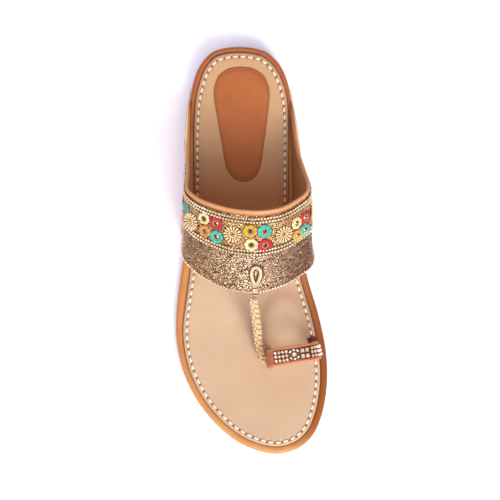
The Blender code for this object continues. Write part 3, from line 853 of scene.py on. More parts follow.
@dataclass(frozen=True)
class Finish:
    """What every finish has: its name and the way it is laid on."""

    name: str

    def start(self) -> tuple[Material, Nodes, bpy.types.Node]:
        """A fresh material with its nodes and its shader."""
        material = bpy.data.materials.new(self.name)
        material.use_nodes = True
        return material, Nodes(material.node_tree), material.node_tree.nodes["Principled BSDF"]

    def laid(
        self,
        fill: Callable[[Nodes, dict], dict],
        values: dict[str, object],
        settings: dict[str, float],
        depth: float = 0.0,
        light_and_tone_strips: Sequence[tuple] = (),
        light_pools: Sequence[tuple] = (),
    ) -> Material:
        """Lays a shared effect on a fresh material.

        Args:
            fill: Builds the effect's inside.
            values: Values of its inputs. A Pressed one follows the mask, which lays real marks and, on some pieces,
                painted shade.
            settings: Values of the shader's own sockets.
            depth: Depth of its relief in millimetres.
            light_and_tone_strips: Soft stretches of painted light, painted shade and tone, as toned takes them.
            light_pools: Soft pools of painted light ringed with painted shade, as printed takes them.

        Returns:
            The material.
        """
        material, nodes, shader = self.start()
        node = nodes.add("Group", {"node_tree": effect(fill, tuple(values))}, **values)
        if "Pressed" in values:
            mask = nodes.add("Attribute", {"attribute_name": "mask"})
            nodes.tree.links.new(mask.outputs["Fac"], node.inputs["Pressed"])
        colour = self.with_light_pools(nodes, self.with_light_and_tone(nodes, node.outputs["Color"], light_and_tone_strips), light_pools)
        if depth:
            relief = {"Strength": 1.0, "Distance": depth * MM, "Height": node.outputs["Height"]}
            normal = nodes.add("Bump", None, **relief).outputs[0]
        else:
            normal = node.outputs["Normal"]
        for key, socket in (("Base Color", colour), ("Roughness", node.outputs["Roughness"]), ("Normal", normal)):
            nodes.tree.links.new(socket, shader.inputs[key])
        give(shader, settings)
        return material

    @staticmethod
    def with_light_and_tone(nodes: Nodes, colour: Socket, light_and_tone_strips: Sequence[tuple]) -> Socket:
        """Works soft stretches of painted light, painted shade and darker tone into a colour.

        Args:
            nodes: The material's nodes.
            colour: The colour to work on.
            light_and_tone_strips: For each stretch its axis, its middle, half width and fade
                in millimetres, and the tone that multiplies the colour.

        Returns:
            The colour with its stretches.
        """
        for axis, middle, reach, fade, tone in light_and_tone_strips:
            at = nodes.add("SeparateXYZ", None, Vector=nodes.where()).outputs[axis]
            away = nodes.maths("ABSOLUTE", nodes.maths("SUBTRACT", at, middle * MM))
            share = nodes.between(away, reach * MM, (reach + fade) * MM, 1.0, 0.0)
            colour = nodes.blend(share, colour, tone, "MULTIPLY")
        return colour

    @staticmethod
    def with_light_pools(nodes: Nodes, colour: Socket, light_pools: Sequence[tuple]) -> Socket:
        """Works soft oval pools of painted light, ringed by painted shade, into a colour.

        Args:
            nodes: The material's nodes.
            colour: The colour to work on.
            light_pools: For each pool its middle and half sizes in millimetres,
            and the factors that multiply its middle, as painted light, and its border, as painted shade.

        Returns:
            The colour with its pools of painted light and shade.
        """
        for (x, y), (wide, long), inner, border in light_pools:
            off = nodes.vector("SUBTRACT", nodes.where(), (x * MM, y * MM, 0.0))
            off = nodes.vector("MULTIPLY", off, (1 / (wide * MM), 1 / (long * MM), 0.0))
            away = nodes.add("VectorMath", {"operation": "LENGTH"}, i0=off).outputs["Value"]
            colour = nodes.blend(nodes.between(away, 0.3, 0.85, 1.0, 0.0), colour, inner, "MULTIPLY")
            edge = nodes.maths("ABSOLUTE", nodes.maths("SUBTRACT", away, 1.0))
            colour = nodes.blend(nodes.between(edge, 0.05, 0.42, 1.0, 0.0), colour, border, "MULTIPLY")
        return colour


@dataclass(frozen=True)
class Leather(Finish):
    """Dyed leather or leather-grained lining."""

    base: tuple
    shade: tuple
    edge: tuple
    grain: float = 0.9
    mottle: float = 0.5
    rough: float = 0.5
    relief: float = 0.08
    coat: float = 0.0
    sheen: float = 0.0
    light_and_tone_strips: tuple = ()
    light_pools: tuple = ()

    def make(self) -> Material:
        """The material."""
        return self.laid(leather_hide, {
            "Base": self.base, "Shade": self.shade, "Edge": self.edge, "Pressed": 0.0,
            "Grain": 1000.0 / self.grain, "Mottle": self.mottle, "Rough": self.rough,
        }, {
            "Coat Weight": self.coat, "Coat Roughness": 0.3, "Sheen Weight": self.sheen,
        }, self.relief, self.light_and_tone_strips, self.light_pools)


@dataclass(frozen=True)
class Rubber(Finish):
    """Moulded black rubber."""

    base: tuple
    dust: tuple
    rough: float = 0.42

    def make(self) -> Material:
        """The material."""
        return self.laid(rubber_scuff, {"Base": self.base, "Dust": self.dust, "Rough": self.rough}, {}, 0.05)


@dataclass(frozen=True)
class Thread(Finish):
    """Silk, metallic yarn or sewing thread, laid in fine lines."""

    base: tuple
    deep: tuple
    bright: tuple
    threads: float = 5.0
    twist: float = 0.0
    relief: float = 0.12
    metallic: float = 0.0
    sheen: float = 0.3

    def make(self) -> Material:
        """The material."""
        return self.laid(laid_threads, {
            "Base": self.base, "Deep": self.deep, "Bright": self.bright, "Pressed": 0.0,
            "Threads": self.threads, "Twist": self.twist,
        }, {"Metallic": self.metallic, "Sheen Weight": self.sheen}, self.relief)


@dataclass(frozen=True)
class Glitter(Finish):
    """Glitter cloth or a close net of metal grains."""

    base: tuple
    deep: tuple
    bright: tuple
    grain: float = 0.8
    tilt: float = 0.9
    metallic: float = 0.55
    light_and_tone_strips: tuple = ()

    def make(self) -> Material:
        """The material."""
        return self.laid(glitter_grains, {
            "Base": self.base, "Deep": self.deep, "Bright": self.bright,
            "Grain": 1000.0 / self.grain, "Tilt": self.tilt,
        }, {"Metallic": self.metallic}, light_and_tone_strips=self.light_and_tone_strips)


@dataclass(frozen=True)
class Gem(Finish):
    """A cut stone or glass bead, clear coated over a glowing core."""

    base: tuple
    deep: tuple
    rough: float = 0.12
    metallic: float = 0.0
    coat: float = 1.0

    def make(self) -> Material:
        """The material."""
        material, nodes, shader = self.start()
        spark = nodes.add("TexVoronoi", None, Vector=nodes.where(), Scale=1100.0).outputs["Color"]
        level = nodes.add("SeparateColor", None, Color=spark).outputs[0]
        colour = nodes.blend(level, self.base, self.deep)
        nodes.tree.links.new(colour, shader.inputs["Base Color"])
        gloss = nodes.between(level, 0.0, 1.0, self.rough, self.rough + 0.12)
        nodes.tree.links.new(gloss, shader.inputs["Roughness"])
        give(shader, {"Metallic": self.metallic, "Coat Weight": self.coat, "Coat Roughness": 0.04})
        return material


@cache
def material_of(finish: Finish) -> Material:
    """A finish's material, made once for all the pieces that take it."""
    return finish.make()


# The sole and its footbed


@dataclass
class Bottom:
    """Rubber outsole, heel block and the board wrapped in tan leather."""

    sole: SoleShape
    steps: int = 130
    heel_back: float = 9.0
    heel_breast: float = 66.0
    heel_inset: float = 2.2
    heel_round: float = 18.0
    rubber: Rubber = Rubber("moulded_rubber", tint(26, 24, 25), tint(96, 90, 84))
    rim: Leather = Leather(
        # the third colour is painted shade, which the board's mask lays in the groove and under the rim
        "rolled_rim_leather", tint(200, 134, 73), tint(178, 108, 54), tint(120, 60, 28),
        grain=0.8, mottle=0.45, rough=0.46, relief=0.05, coat=0.06,
        # soft strips of painted light and shade: darker at the heel and along the inner forefoot, lighter at the toe
        # and along the waist, where the ears shade the rim
        light_and_tone_strips=(
            (1, 127.5, 50.0, 60.0, tint(222, 184, 160)),
            (1, -127.5, 16.0, 50.0, (1.14, 1.36, 1.7, 1.0)),
            (0, 50.0, 10.0, 18.0, tint(188, 152, 76)),
            (1, 37.5, 25.0, 15.0, (1.45, 1.9, 2.5, 1.0)),
        ),
    )

    def outsole(self) -> Piece:
        """Thin outsole whose wall has a fine moulded line round it."""
        levels = [(4.0, 0.0, squeeze) for squeeze in (1.0, 0.66, 0.33, 0.0)]
        levels += [(2.2, 0.0, 0.0), (1.5, 0.16, 0.0), (1.12, 0.5, 0.0), (0.96, 1.0, 0.0)]
        levels += [(0.92, 1.35, 0.0), (1.14, 1.5, 0.0), (0.92, 1.65, 0.0)]
        levels += [(0.9, 2.2, 0.0), (0.95, 2.65, 0.0), (1.2, 2.95, 0.0), (1.6, 3.0, 0.0)]
        levels += [(4.0, 3.0, squeeze) for squeeze in (0.0, 0.5, 1.0)]
        form = new_form()
        wrapped(form, 2 * self.steps, len(levels) - 1, self.sole.layer(levels, self.steps))
        return finished("outsole_rubber", form, [self.rubber], ["outsole"])

    def heel(self) -> Piece:
        """Low heel, shaped to the outsole above and grooved on its face."""
        levels = [(1.8, 2.4, 0.0, q) for q in (1.0, 0.5, 0.0)]
        levels += [(1.0, 1.6, 0.25, 0.0), (0.6, 1.2, 0.8, 0.0), (0.3, 0.9, 1.4, 0.0)]
        levels += [(0.12, 0.4, 2.6, 0.0), (0.0, 0.0, None, 0.0), (0.0, 0.0, None, 0.5), (0.0, 0.0, None, 1.0)]
        turn = np.linspace(0, math.pi, 61)
        rings = []
        for inset, front, height, squeeze in levels:
            low, high = self.heel_back + inset, self.heel_breast - front
            at = eased(low, high, turn)
            stations, inner, outer = self.sole.ring(self.heel_inset + inset, self.steps)
            inner, outer = np.interp(at, stations, inner), np.interp(at, stations, outer)
            back = (inner[0] + outer[0]) / 2
            near = np.clip((at - low) / self.heel_round, 0, 1)
            near = (1 - (1 - near) ** 2.4) ** (1 / 2.4)
            inner, outer = [back + (side - back) * near for side in (inner, outer)]
            middle = (inner + outer) / 2
            inner, outer = [middle + (side - middle) * (1 - squeeze) for side in (inner, outer)]
            across = np.concatenate([inner, outer[::-1], inner[:1]])
            at = np.concatenate([at, at[::-1], at[:1]])
            lift = self.sole.under(at) - SEAT_GAP if height is None else np.full(len(at), height)
            rings.append(np.column_stack([at, across, lift]))
        form = new_form()
        wrapped(form, len(across) - 1, len(rings) - 1, skin(np.array(rings)))
        return finished("heel_rubber", form, [self.rubber], ["heel_block"])

    def board(self) -> Piece:
        """The wrapped board, its rim rolled like a bead with a groove inside."""
        low = self.sole.outsole + SEAT_GAP
        top = low + self.sole.midsole
        width = self.sole.rim_width()
        levels = [(8.0, low, 1.0), (8.0, low, 0.5), (8.0, low, 0.0), (1.1, low, 0.0), (0.5, low + 0.25, 0.0)]
        levels += [(0.2, low + 0.8, 0.0), (0.03, low + 1.6, 0.0), (0.0, low + 2.5, 0.0), (0.12, low + 3.4, 0.0)]
        for part, drop in (
            (0.08, 0.98), (0.16, 0.56), (0.26, 0.24), (0.38, 0.05), (0.50, 0.0), (0.62, 0.04),
            (0.73, 0.11), (0.83, 0.22), (0.92, 0.34), (1.0, 0.44), (1.3, 0.5), (2.0, 0.55),
        ):
            levels.append((part * width, top + 0.05 - drop, 0.0))
        levels += [(2.0 * width, top - 0.55, 0.5), (2.0 * width, top - 0.55, 1.0)]
        # painted shade: how far each level takes the dark third colour, most in the groove by the sock and under the
        # rim
        shade = np.zeros(len(levels))
        shade[3:6] = (0.5, 0.35, 0.15)
        shade[15:19] = (0.10, 0.30, 0.60, 0.85)
        shade[19:23] = 0.85
        base = self.sole.layer(levels, self.steps)

        def surface(u: Array, v: Array) -> Array:
            """The rim with small gathers where the leather turns its ends."""
            points = base(u, v)
            ends = bump(points[:, 0], 26.0) + bump(points[:, 0] - SHOE_LENGTH, 30.0)
            row = v * (len(levels) - 1)
            points[:, 2] += 0.07 * ends * np.sin(u * 2 * self.steps * 0.9) * bump(row - 13, 4.0)
            return points

        def pressed(u: Array, v: Array) -> Array:
            """Painted shade in the groove and under the rim, less at the heel and beside the ears."""
            row = whole(v, len(levels) - 1)
            station = base(u, v)[:, 0]
            return shade[row] * (1 - 0.85 * beside_ears(station)) * (1 - 0.55 * bump(station, 30.0))

        form = new_form()
        wrapped(form, 2 * self.steps, len(levels) - 1, surface, pressed)
        return finished("wrapped_board", form, [self.rim], ["midsole"])


@dataclass
class Footbed:
    """Sewn sock with its stitches, and the padded patch under the heel."""

    sole: SoleShape
    steps: int = 300
    stitch_inset: float = 2.3
    pitch: float = 4.7
    stitch_part: float = 0.76
    thread_radius: float = 0.62
    # station, half width and centre across
    pad: tuple = (
        ("back", 12.6, 0.0, -6.6),
        ("back_turn", 13.0, 4.6, -6.6),
        ("back_round", 14.6, 9.4, -6.6),
        ("back_shoulder", 19.5, 15.0, -6.4),
        ("wide", 29.0, 17.6, -6.2),
        ("taper", 46.0, 15.6, -5.8),
        ("waist", 63.0, 13.0, -5.4),
        ("front_shoulder", 76.0, 10.6, -5.2),
        ("front_round", 81.4, 7.4, -5.0),
        ("front_turn", 84.0, 3.8, -5.0),
        ("front", 84.8, 0.0, -5.0),
    )
    sock: Leather = Leather(
        # the third colour is painted shade, which the mask lays in the needle holes and along the sock's lower edge
        "sock_leather", tint(206, 176, 148), tint(190, 156, 127), tint(92, 54, 32),
        grain=0.7, mottle=0.35, rough=0.55, relief=0.035, sheen=0.1,
        # soft strips of painted shade: the sock warmer and a little darker from the heel to the band, darker again
        # under the band
        light_and_tone_strips=((1, 87.5, 80.0, 25.0, tint(250, 233, 212)), (1, 19.5, 14.0, 30.0, tint(244, 208, 182))),
        # a pool of painted light ringed with painted shade, in front of the band on the inner side of the cord
        light_pools=(((21.0, -45.5), (14.5, 18.0), (1.16, 1.16, 1.16, 1.0), (0.84, 0.74, 0.70, 1.0)),),
    )
    patch: Leather = Leather(
        "pad_leather", tint(182, 101, 46), tint(162, 84, 34), tint(116, 58, 26),
        grain=0.9, mottle=0.55, rough=0.58, relief=0.06,
    )
    thread: Thread = Thread(
        "sewing_thread", tint(255, 246, 230), tint(206, 184, 152), tint(255, 252, 244),
        threads=2.0, twist=5.0, relief=0.08, sheen=0.3,
    )

    def seam(self) -> tuple[Array, Array, int]:
        """The closed line of the stitches, the distance along it and their count."""
        stations, inner, outer = self.sole.ring(self.sole.rim_width() + self.stitch_inset, self.steps)
        across = np.concatenate([inner, outer[-2::-1]])
        at = np.concatenate([stations, stations[-2::-1]])
        across[-1] = across[0]
        seam = np.column_stack([at, across, self.sole.sock_top(at)])
        run = travelled(seam[:, :2])
        return seam, run, round(run[-1] / self.pitch)

    def lining(self) -> Piece:
        """The sock, drawn down a little at every needle hole."""
        width = self.sole.rim_width()
        low = self.sole.outsole + self.sole.midsole + 2 * SEAT_GAP
        top = low + self.sole.sock
        insets = [3.0, 3.0, 0.5, 0.0, -0.12, 0.05, 0.32, 0.66, 1.0, 1.4, 1.75, 2.0, 2.3, 2.6, 2.9, 3.4, 4.2]
        lifts = [low, low, low - 0.25, low - 0.25, low + 0.1, low + 0.8, top - 0.42, top - 0.12, top, top]
        lifts += [top] * (len(insets) - len(lifts))
        levels = [(width + i, lift, 0.0) for i, lift in zip(insets, lifts)]
        levels[0] = (width + 3.0, low, 1.0)
        levels += [(width + 4.2, top, squeeze) for squeeze in np.linspace(0, 1, 13)[1:]]
        insets += [4.2 + 3.0 * k for k in range(1, 13)]
        inset = np.array(insets)
        _, run, count = self.seam()
        step = run / run[-1] * count
        near_hole = np.abs(step - np.rint(step)) * self.pitch
        base = self.sole.layer(levels, self.steps)

        def surface(u: Array, v: Array) -> Array:
            """The sock's skin with its dimples and puckered edge."""
            points = base(u, v)
            row = whole(v, len(levels) - 1)
            turn = whole(u, 2 * self.steps)
            off = inset[row] - self.stitch_inset
            above = np.where(row > 6, 1.0, 0.0)
            hole = bump(near_hole[turn], 0.75) * bump(off, 0.55)
            pull = bump(near_hole[turn], 1.4) * bump(off, 1.9)
            points[:, 2] -= above * (0.55 * hole + 0.30 * pull)
            points[:, 2] += above * 0.08 * bump(off + 1.3, 0.8)
            sway = np.sin(points[:, 0] / 23.0) * np.cos(points[:, 1] / 13.0)
            points[:, 2] += above * 0.12 * sway * np.clip((off - 3) / 6, 0, 1)
            return points

        def worn(u: Array, v: Array) -> Array:
            """Painted shade in the needle holes and along the sock's lower edge where it meets the rim, less beside
            the ears and at the heel.
            """
            row = whole(v, len(levels) - 1)
            turn = whole(u, 2 * self.steps)
            hole = bump(near_hole[turn], 0.85) * bump(inset[row] - self.stitch_inset, 0.8)
            station = base(u, v)[:, 0]
            edge = (0.8 - 0.6 * beside_ears(station)) * (1 - 0.6 * bump(station, 30.0))
            return np.where(row > 6, hole, np.where(row > 2, 0.0, edge))

        form = new_form()
        # worn lays painted shade in the needle holes and along the sock's lower edge
        wrapped(form, 2 * self.steps, len(levels) - 1, surface, worn)
        return finished("sewn_sock", form, [self.sock], ["insole"], 60.0)

    def stitches(self) -> Piece:
        """Every stitch of the seam, arched between its needle holes."""
        seam, run, count = self.seam()
        form = new_form()
        slack = (1 - self.stitch_part) / 2
        for k in range(count):
            part = np.linspace(0, 1, 8)
            at = (k + slack + self.stitch_part * part) / count * run[-1]
            path = np.column_stack([np.interp(at, run, seam[:, i]) for i in range(3)])
            path[:, 2] += -0.42 + 0.78 * np.sin(part * math.pi) ** 0.6
            path[:, 2] -= 0.15 * (np.abs(part - 0.5) > 0.49)
            along = path[-1] - path[0]
            side = np.tile(np.array([-along[1], along[0], 0.0]), (len(path), 1))

            def section(turn: Array, v: Array) -> tuple[Array, Array]:
                """A round thread that closes at its ends."""
                size = self.thread_radius * np.clip(np.sin(np.clip(v, 0, 1) * math.pi), 0, 1) ** 0.35
                return closing(v, size) * np.cos(turn), 0.85 * closing(v, size) * np.sin(turn)

            swept(form, path, side, section, 7)
        return finished("sock_stitches", form, [self.thread])

    def heel_patch(self) -> Piece:
        """The padded drop, with a pressed line inside its edge."""
        along = eased(self.pad[0][1], self.pad[-1][1], np.linspace(0, math.pi, 61))
        half, middle = read(self.pad, along, 2), read(self.pad, along, 3)
        plan = np.vstack([
            np.column_stack([along, middle + half]),
            np.column_stack([along, middle - half])[-2::-1],
        ])
        centre = np.array([47.0, -5.7])
        levels = ((0.0, -0.2), (1.0, -0.2), (1.0, 0.16), (0.996, 0.34), (0.984, 0.45), (0.966, 0.50),
                  (0.95, 0.47), (0.935, 0.47), (0.915, 0.54), (0.88, 0.60), (0.80, 0.64),
                  (0.66, 0.66), (0.52, 0.67), (0.38, 0.67), (0.24, 0.67), (0.10, 0.67), (0.0, 0.67))
        scale, lift = np.array(levels).T

        def surface(u: Array, v: Array) -> Array:
            """A point of the pad's skin."""
            row = whole(v, len(levels) - 1)
            flat = centre + (plan[whole(u, len(plan) - 1)] - centre) * scale[row][:, None]
            soft = 0.05 * np.sin(flat[:, 0] / 3.1 + flat[:, 1] / 5.0) * (row > 8) * scale[row]
            return np.column_stack([flat, self.sole.sock_top(flat[:, 0]) + lift[row] + soft])

        def pressed(u: Array, v: Array) -> Array:
            """Darker leather at the edge and in the pressed line."""
            row = whole(v, len(levels) - 1)
            return np.select([row <= 2, row == 3, row <= 5, row <= 7, row == 8], [0.8, 0.45, 0.2, 0.42, 0.15], 0.0)

        form = new_form()
        wrapped(form, len(plan) - 1, len(levels) - 1, surface, pressed)
        return finished("heel_patch", form, [self.patch], ["heel_pad"])


# The upper: ears, band and what is sewn on it


@dataclass
class Ears:
    """Two leather ears that lap the sole's side and stand over the band."""

    side: SideShape
    wall: float = 1.5
    top: float = 45.0
    # part of the height over the hem, station of the back and front edge
    outline: tuple = (
        ("hem", 0.0, 26.0, 121.0),
        ("rim_top", 0.14, 34.5, 120.8),
        ("lower", 0.39, 43.5, 120.2),
        ("middle", 0.60, 56.0, 119.3),
        ("crossing", 0.73, 66.0, 117.4),
        ("rise", 0.86, 75.0, 112.8),
        ("shoulder", 0.945, 83.0, 107.4),
        ("crest", 0.985, 89.0, 102.6),
        ("top", 1.0, 93.0, 99.0),
    )
    # creases: from and to (station, height), width and how far it stands out
    creases: tuple = (
        ("fold_ridge", 117.5, 34.0, 97.5, 11.5, 2.0, 0.8),
        ("fold_shadow", 114.0, 35.5, 95.0, 14.0, 2.2, -0.35),
        ("top_valley", 88.5, 37.5, 81.0, 28.0, 2.0, -0.55),
        ("middle_valley", 92.5, 28.0, 83.0, 11.5, 2.3, -0.6),
        ("middle_crest", 87.0, 27.5, 80.0, 15.0, 2.4, 0.55),
        ("top_crest", 83.0, 39.5, 79.0, 32.0, 2.2, 0.45),
        ("back_valley", 75.5, 29.0, 69.0, 12.5, 2.5, -0.5),
        ("back_crest", 60.5, 27.0, 68.0, 13.0, 3.0, 0.4),
        ("hem_pull", 58.0, 16.0, 76.0, 11.5, 2.0, 0.3),
    )
    hide: Leather = Leather(
        "ear_leather", tint(226, 162, 102), tint(202, 132, 76), tint(250, 226, 190),
        grain=0.8, mottle=0.40, rough=0.48, relief=0.05, coat=0.05,
    )
    lining: Leather = Leather(
        "lining_leather", tint(236, 200, 164), tint(210, 168, 130), tint(250, 226, 190),
        grain=0.7, mottle=0.4, rough=0.62, relief=0.04,
    )

    def creased(self, station: Array, height: Array, inner: bool) -> Array:
        """How far the worn leather stands out of its smooth face."""
        shift, share = (2.5, 1.2) if inner else (0.0, 1.5)
        out = 0.16 * np.sin(station / 5.3 + height / 9.0) * np.sin(height / 6.1 - station / 17.0)
        for _, s0, h0, s1, h1, width, lift in self.creases:
            start, end = np.array([s0 + shift, h0]), np.array([s1 + shift, h1])
            line = end - start
            part = ((station - start[0]) * line[0] + (height - start[1]) * line[1]) / (line @ line)
            held = np.clip(part, 0, 1)
            bow = 0.9 * np.sin(held * math.pi)
            gap = np.hypot(station - start[0] - held * line[0] + bow, height - start[1] - held * line[1])
            fade = np.where(np.abs(part - 0.5) > 0.5, bump(np.abs(part - 0.5) - 0.5, 0.25), 1.0)
            out = out + share * lift * bump(gap, width) * fade
        over = height - self.side.hem(station) - self.side.sole.midsole
        out = out * np.clip((over + 1.5) / 4.0, 0, 1)
        return out - 0.55 * bump(over - 0.4, 1.3) + 0.15 * bump(over + 3.0, 1.6)

    def covers(self, points: Array, margin: float = 0.0) -> Array:
        """Whether an ear stands in front of points on the side of the shoe."""
        station, height = points[..., 0], points[..., 2]
        hem = self.side.hem(station)
        part = (height - margin - hem) / (self.top - hem)
        back, front = read(self.outline, part, 2), read(self.outline, part, 3)
        return (part < 1) & (station > back - margin) & (station < front + margin)

    def clear_of(self, spots: list[Spot], margin: float) -> list[Spot]:
        """The spots on the band that no ear hides."""
        hidden = self.covers(np.array([spot.here for spot in spots]), margin)
        return [spot for spot, out in zip(spots, hidden) if not out]

    def ear(self, name: str, inner: bool) -> Piece:
        """One ear, from its hem to its round top."""
        sign = 1.0 if inner else -1.0
        outer_lift = self.wall - self.side.ear_overlap

        def sheet(out: float, outside: bool) -> Surface:
            """One face of the ear's leather."""
            def surface(u: Array, v: Array) -> Array:
                """A point of that face, rounded over at the cut edge."""
                part = 1 - (1 - v) ** 1.6
                back, front = read(self.outline, part, 2), read(self.outline, part, 3)
                spread = (1 - np.cos(u * math.pi)) / 2 * 0.5 + u * 0.5
                station = back + (front - back) * spread
                hem = self.side.hem(station)
                height = hem + part * (self.top - hem)
                near = np.minimum(np.minimum(station - back, front - station), (self.top - height) * 1.5)
                near = np.minimum(near, (height - hem) * 2 + 0.2)
                lift = out - np.sign(out - 0.5) * 0.34 * bump(near, 0.55)
                skive = np.clip((50.0 - station) / 22.0, 0, 1)
                skive = skive * skive * (3 - 2 * skive)
                relief = self.creased(station, height, inner)
                lift = lift + (relief - 1.15 * skive if outside else 0.75 * relief)
                across = self.side.across(station, height, inner) + sign * lift
                return np.stack([station, across, height], axis=-1)
            return surface

        def cut(u: Array, v: Array) -> Array:
            """Pale cut leather along the free edge."""
            edge = np.minimum(np.minimum(u, 1 - u) * 80, (1 - v) * 26)
            return 0.9 * bump(edge, 0.9) * np.clip(v * 9 - 0.7, 0, 1)

        form = new_form()
        two_faced(form, 84, 56, sheet(outer_lift, True), sheet(-self.side.ear_overlap, False), cut)
        bmesh.ops.remove_doubles(form, verts=form.verts, dist=0.002 * MM)
        return finished(name, form, [self.hide, self.lining])


@dataclass
class InstepBand:
    """Leather band over the instep with its binding and glitter cloth."""

    shape: BandShape
    binding_end: float = 0.042
    edge_wall: float = 1.1
    hide: Leather = Leather(
        "band_leather", tint(206, 134, 82), tint(178, 106, 60), tint(230, 172, 120),
        grain=0.8, mottle=0.4, rough=0.5, relief=0.05,
    )
    lining: Leather = Leather(
        "band_lining", tint(180, 124, 84), tint(150, 98, 62), tint(214, 164, 120),
        grain=0.7, mottle=0.4, rough=0.65, relief=0.04,
    )
    binding: Leather = Leather(
        "binding_leather", tint(212, 154, 106), tint(188, 124, 76), tint(118, 60, 30),
        grain=0.7, mottle=0.35, rough=0.42, relief=0.04, coat=0.1,
    )
    glitter: Glitter = Glitter(
        "glitter_cloth", tint(158, 114, 78), tint(52, 25, 11), tint(255, 236, 204),
        grain=0.50, tilt=0.75, metallic=0.3,
        # soft strips that darken the cloth towards both sides of the band
        light_and_tone_strips=((0, 46.0, 16.0, 22.0, tint(180, 150, 126)), (0, -50.0, 16.0, 26.0, tint(212, 186, 158))),
    )

    def wall(self) -> Piece:
        """The band itself, one bent wall from rim to rim."""
        ends = self.shape.ends

        def sheet(outside: bool) -> Surface:
            """One face of the wall."""
            def surface(u: Array, v: Array) -> Array:
                """A point of that face, softened at the edges."""
                edge = bump(np.minimum(v, 1 - v), 0.008)
                skived = (self.shape.wall - self.edge_wall) * bump(v, 0.05)
                lift = -0.45 * edge if outside else -self.shape.wall + 0.45 * edge + skived
                return self.shape.face(u * ends, v, lift)
            return surface

        form = new_form()
        two_faced(form, 150, 44, sheet(True), sheet(False))
        return finished("instep_band", form, [self.hide, self.lining], ["upper"])

    def edge_binding(self) -> Piece:
        """Leather folded over the back edge, with a turned edge each side."""
        end, wall = self.binding_end, self.edge_wall
        profile = (
            (end, -0.3), (end + 0.001, 0.12), (end - 0.003, 0.30), (end - 0.011, 0.38), (0.026, 0.34), (0.013, 0.38),
            (0.004, 0.28), (-0.003, -0.02), (-0.006, -0.45), (-0.005, -wall + 0.3), (-0.002, -wall - 0.02),
            (0.005, -wall - 0.26), (0.018, -wall - 0.42), (0.034, -wall - 0.60), (0.048, -wall - 0.74),
            (0.054, -wall - 0.6), (0.054, -wall + 0.2), (end, -0.3),
        )
        along, lift = np.array(profile).T

        def surface(u: Array, v: Array) -> Array:
            """A point of the folded strip."""
            row = whole(v, len(profile) - 1)
            ripple = 0.06 * np.sin(u * 190) * (row > 1) * (row < 6)
            return self.shape.face(u * self.shape.ends, along[row], lift[row] + ripple)

        def pressed(u: Array, v: Array) -> Array:
            """Darker leather at the turned edges."""
            row = whole(v, len(profile) - 1)
            return np.where((row <= 2) | (row >= 15), 0.8, 0.0)

        form = new_form()
        wrapped(form, 220, len(profile) - 1, surface, pressed, capped=True)
        return finished("back_binding", form, [self.binding])

    def glitter_panel(self) -> Piece:
        """Glitter cloth laid over the front part of the band."""
        first, last = 2.0, self.shape.ends - 2.0
        base = 0.22

        def surface(u: Array, v: Array) -> Array:
            """The grainy face of the cloth, tucked under at its edges."""
            girth, along = first + u * (last - first), 0.525 + v * 0.46
            tuck = np.clip(np.minimum(np.minimum(u, 1 - u) * 240, np.minimum(v, 1 - v) * 60), 0, 1)
            grain = np.sin(u * 913.7) * np.sin(v * 371.3 + u * 211.1) * np.sin(u * 377.1 - v * 833.9)
            return self.shape.face(girth, along, -0.1 + (base + 0.1 + 0.10 * grain) * tuck)

        form = new_form()
        wrapped(form, 240, 60, surface)
        bmesh.ops.solidify(form, geom=form.faces[:], thickness=0.15 * MM)
        return finished("glitter_panel", form, [self.glitter], sharp=80.0)


@dataclass
class GlitterChips:
    """Loose larger chips of glitter that catch the light on the cloth."""

    shape: BandShape
    ears: Ears
    count: int = 620
    foil: Gem = Gem("glitter_foil", tint(238, 208, 170), tint(112, 72, 44), rough=0.24, metallic=0.6, coat=0.1)

    def make(self) -> Piece:
        """Six-sided chips scattered over the glitter cloth."""
        pick = np.random.default_rng(7)
        girth = pick.uniform(3.0, self.shape.ends - 3.0, self.count)
        along = pick.uniform(0.55, 0.945, self.count)
        form = new_form()
        for spot in self.ears.clear_of(self.shape.spots(girth, along), 0.8):
            lean, size = pick.normal(0, 0.34, 2), pick.uniform(0.20, 0.34)
            up = Vector(unit(spot.point(*lean, 1.0) - spot.here))
            spin = up.to_track_quat("Z", "Y").to_matrix() @ Matrix.Rotation(pick.uniform(0, 1), 3, "Z")
            made = bmesh.ops.create_cone(
                form, cap_ends=True, segments=6, radius1=size, radius2=size * 0.8, depth=0.14)
            middle = spot.here + spot.normal * 0.34
            settle(made, lambda *corner: middle + np.array(spin @ Vector(corner)))
        return finished("glitter_chips", form, [self.foil], sharp=20.0)


class Silk(Enum):
    """Colours of embroidery silk: base, deep and bright."""

    RED = (tint(206, 22, 40), tint(124, 6, 20), tint(236, 66, 76))
    TEAL = (tint(58, 196, 182), tint(20, 124, 122), tint(150, 232, 220))
    YELLOW = (tint(228, 174, 44), tint(170, 108, 20), tint(248, 214, 112))
    ORANGE = (tint(232, 150, 60), tint(172, 96, 30), tint(252, 196, 110))
    CREAM = (tint(250, 232, 178), tint(196, 164, 102), tint(255, 248, 220))
    GOLD = (tint(255, 230, 180), tint(176, 120, 62), tint(255, 248, 222))


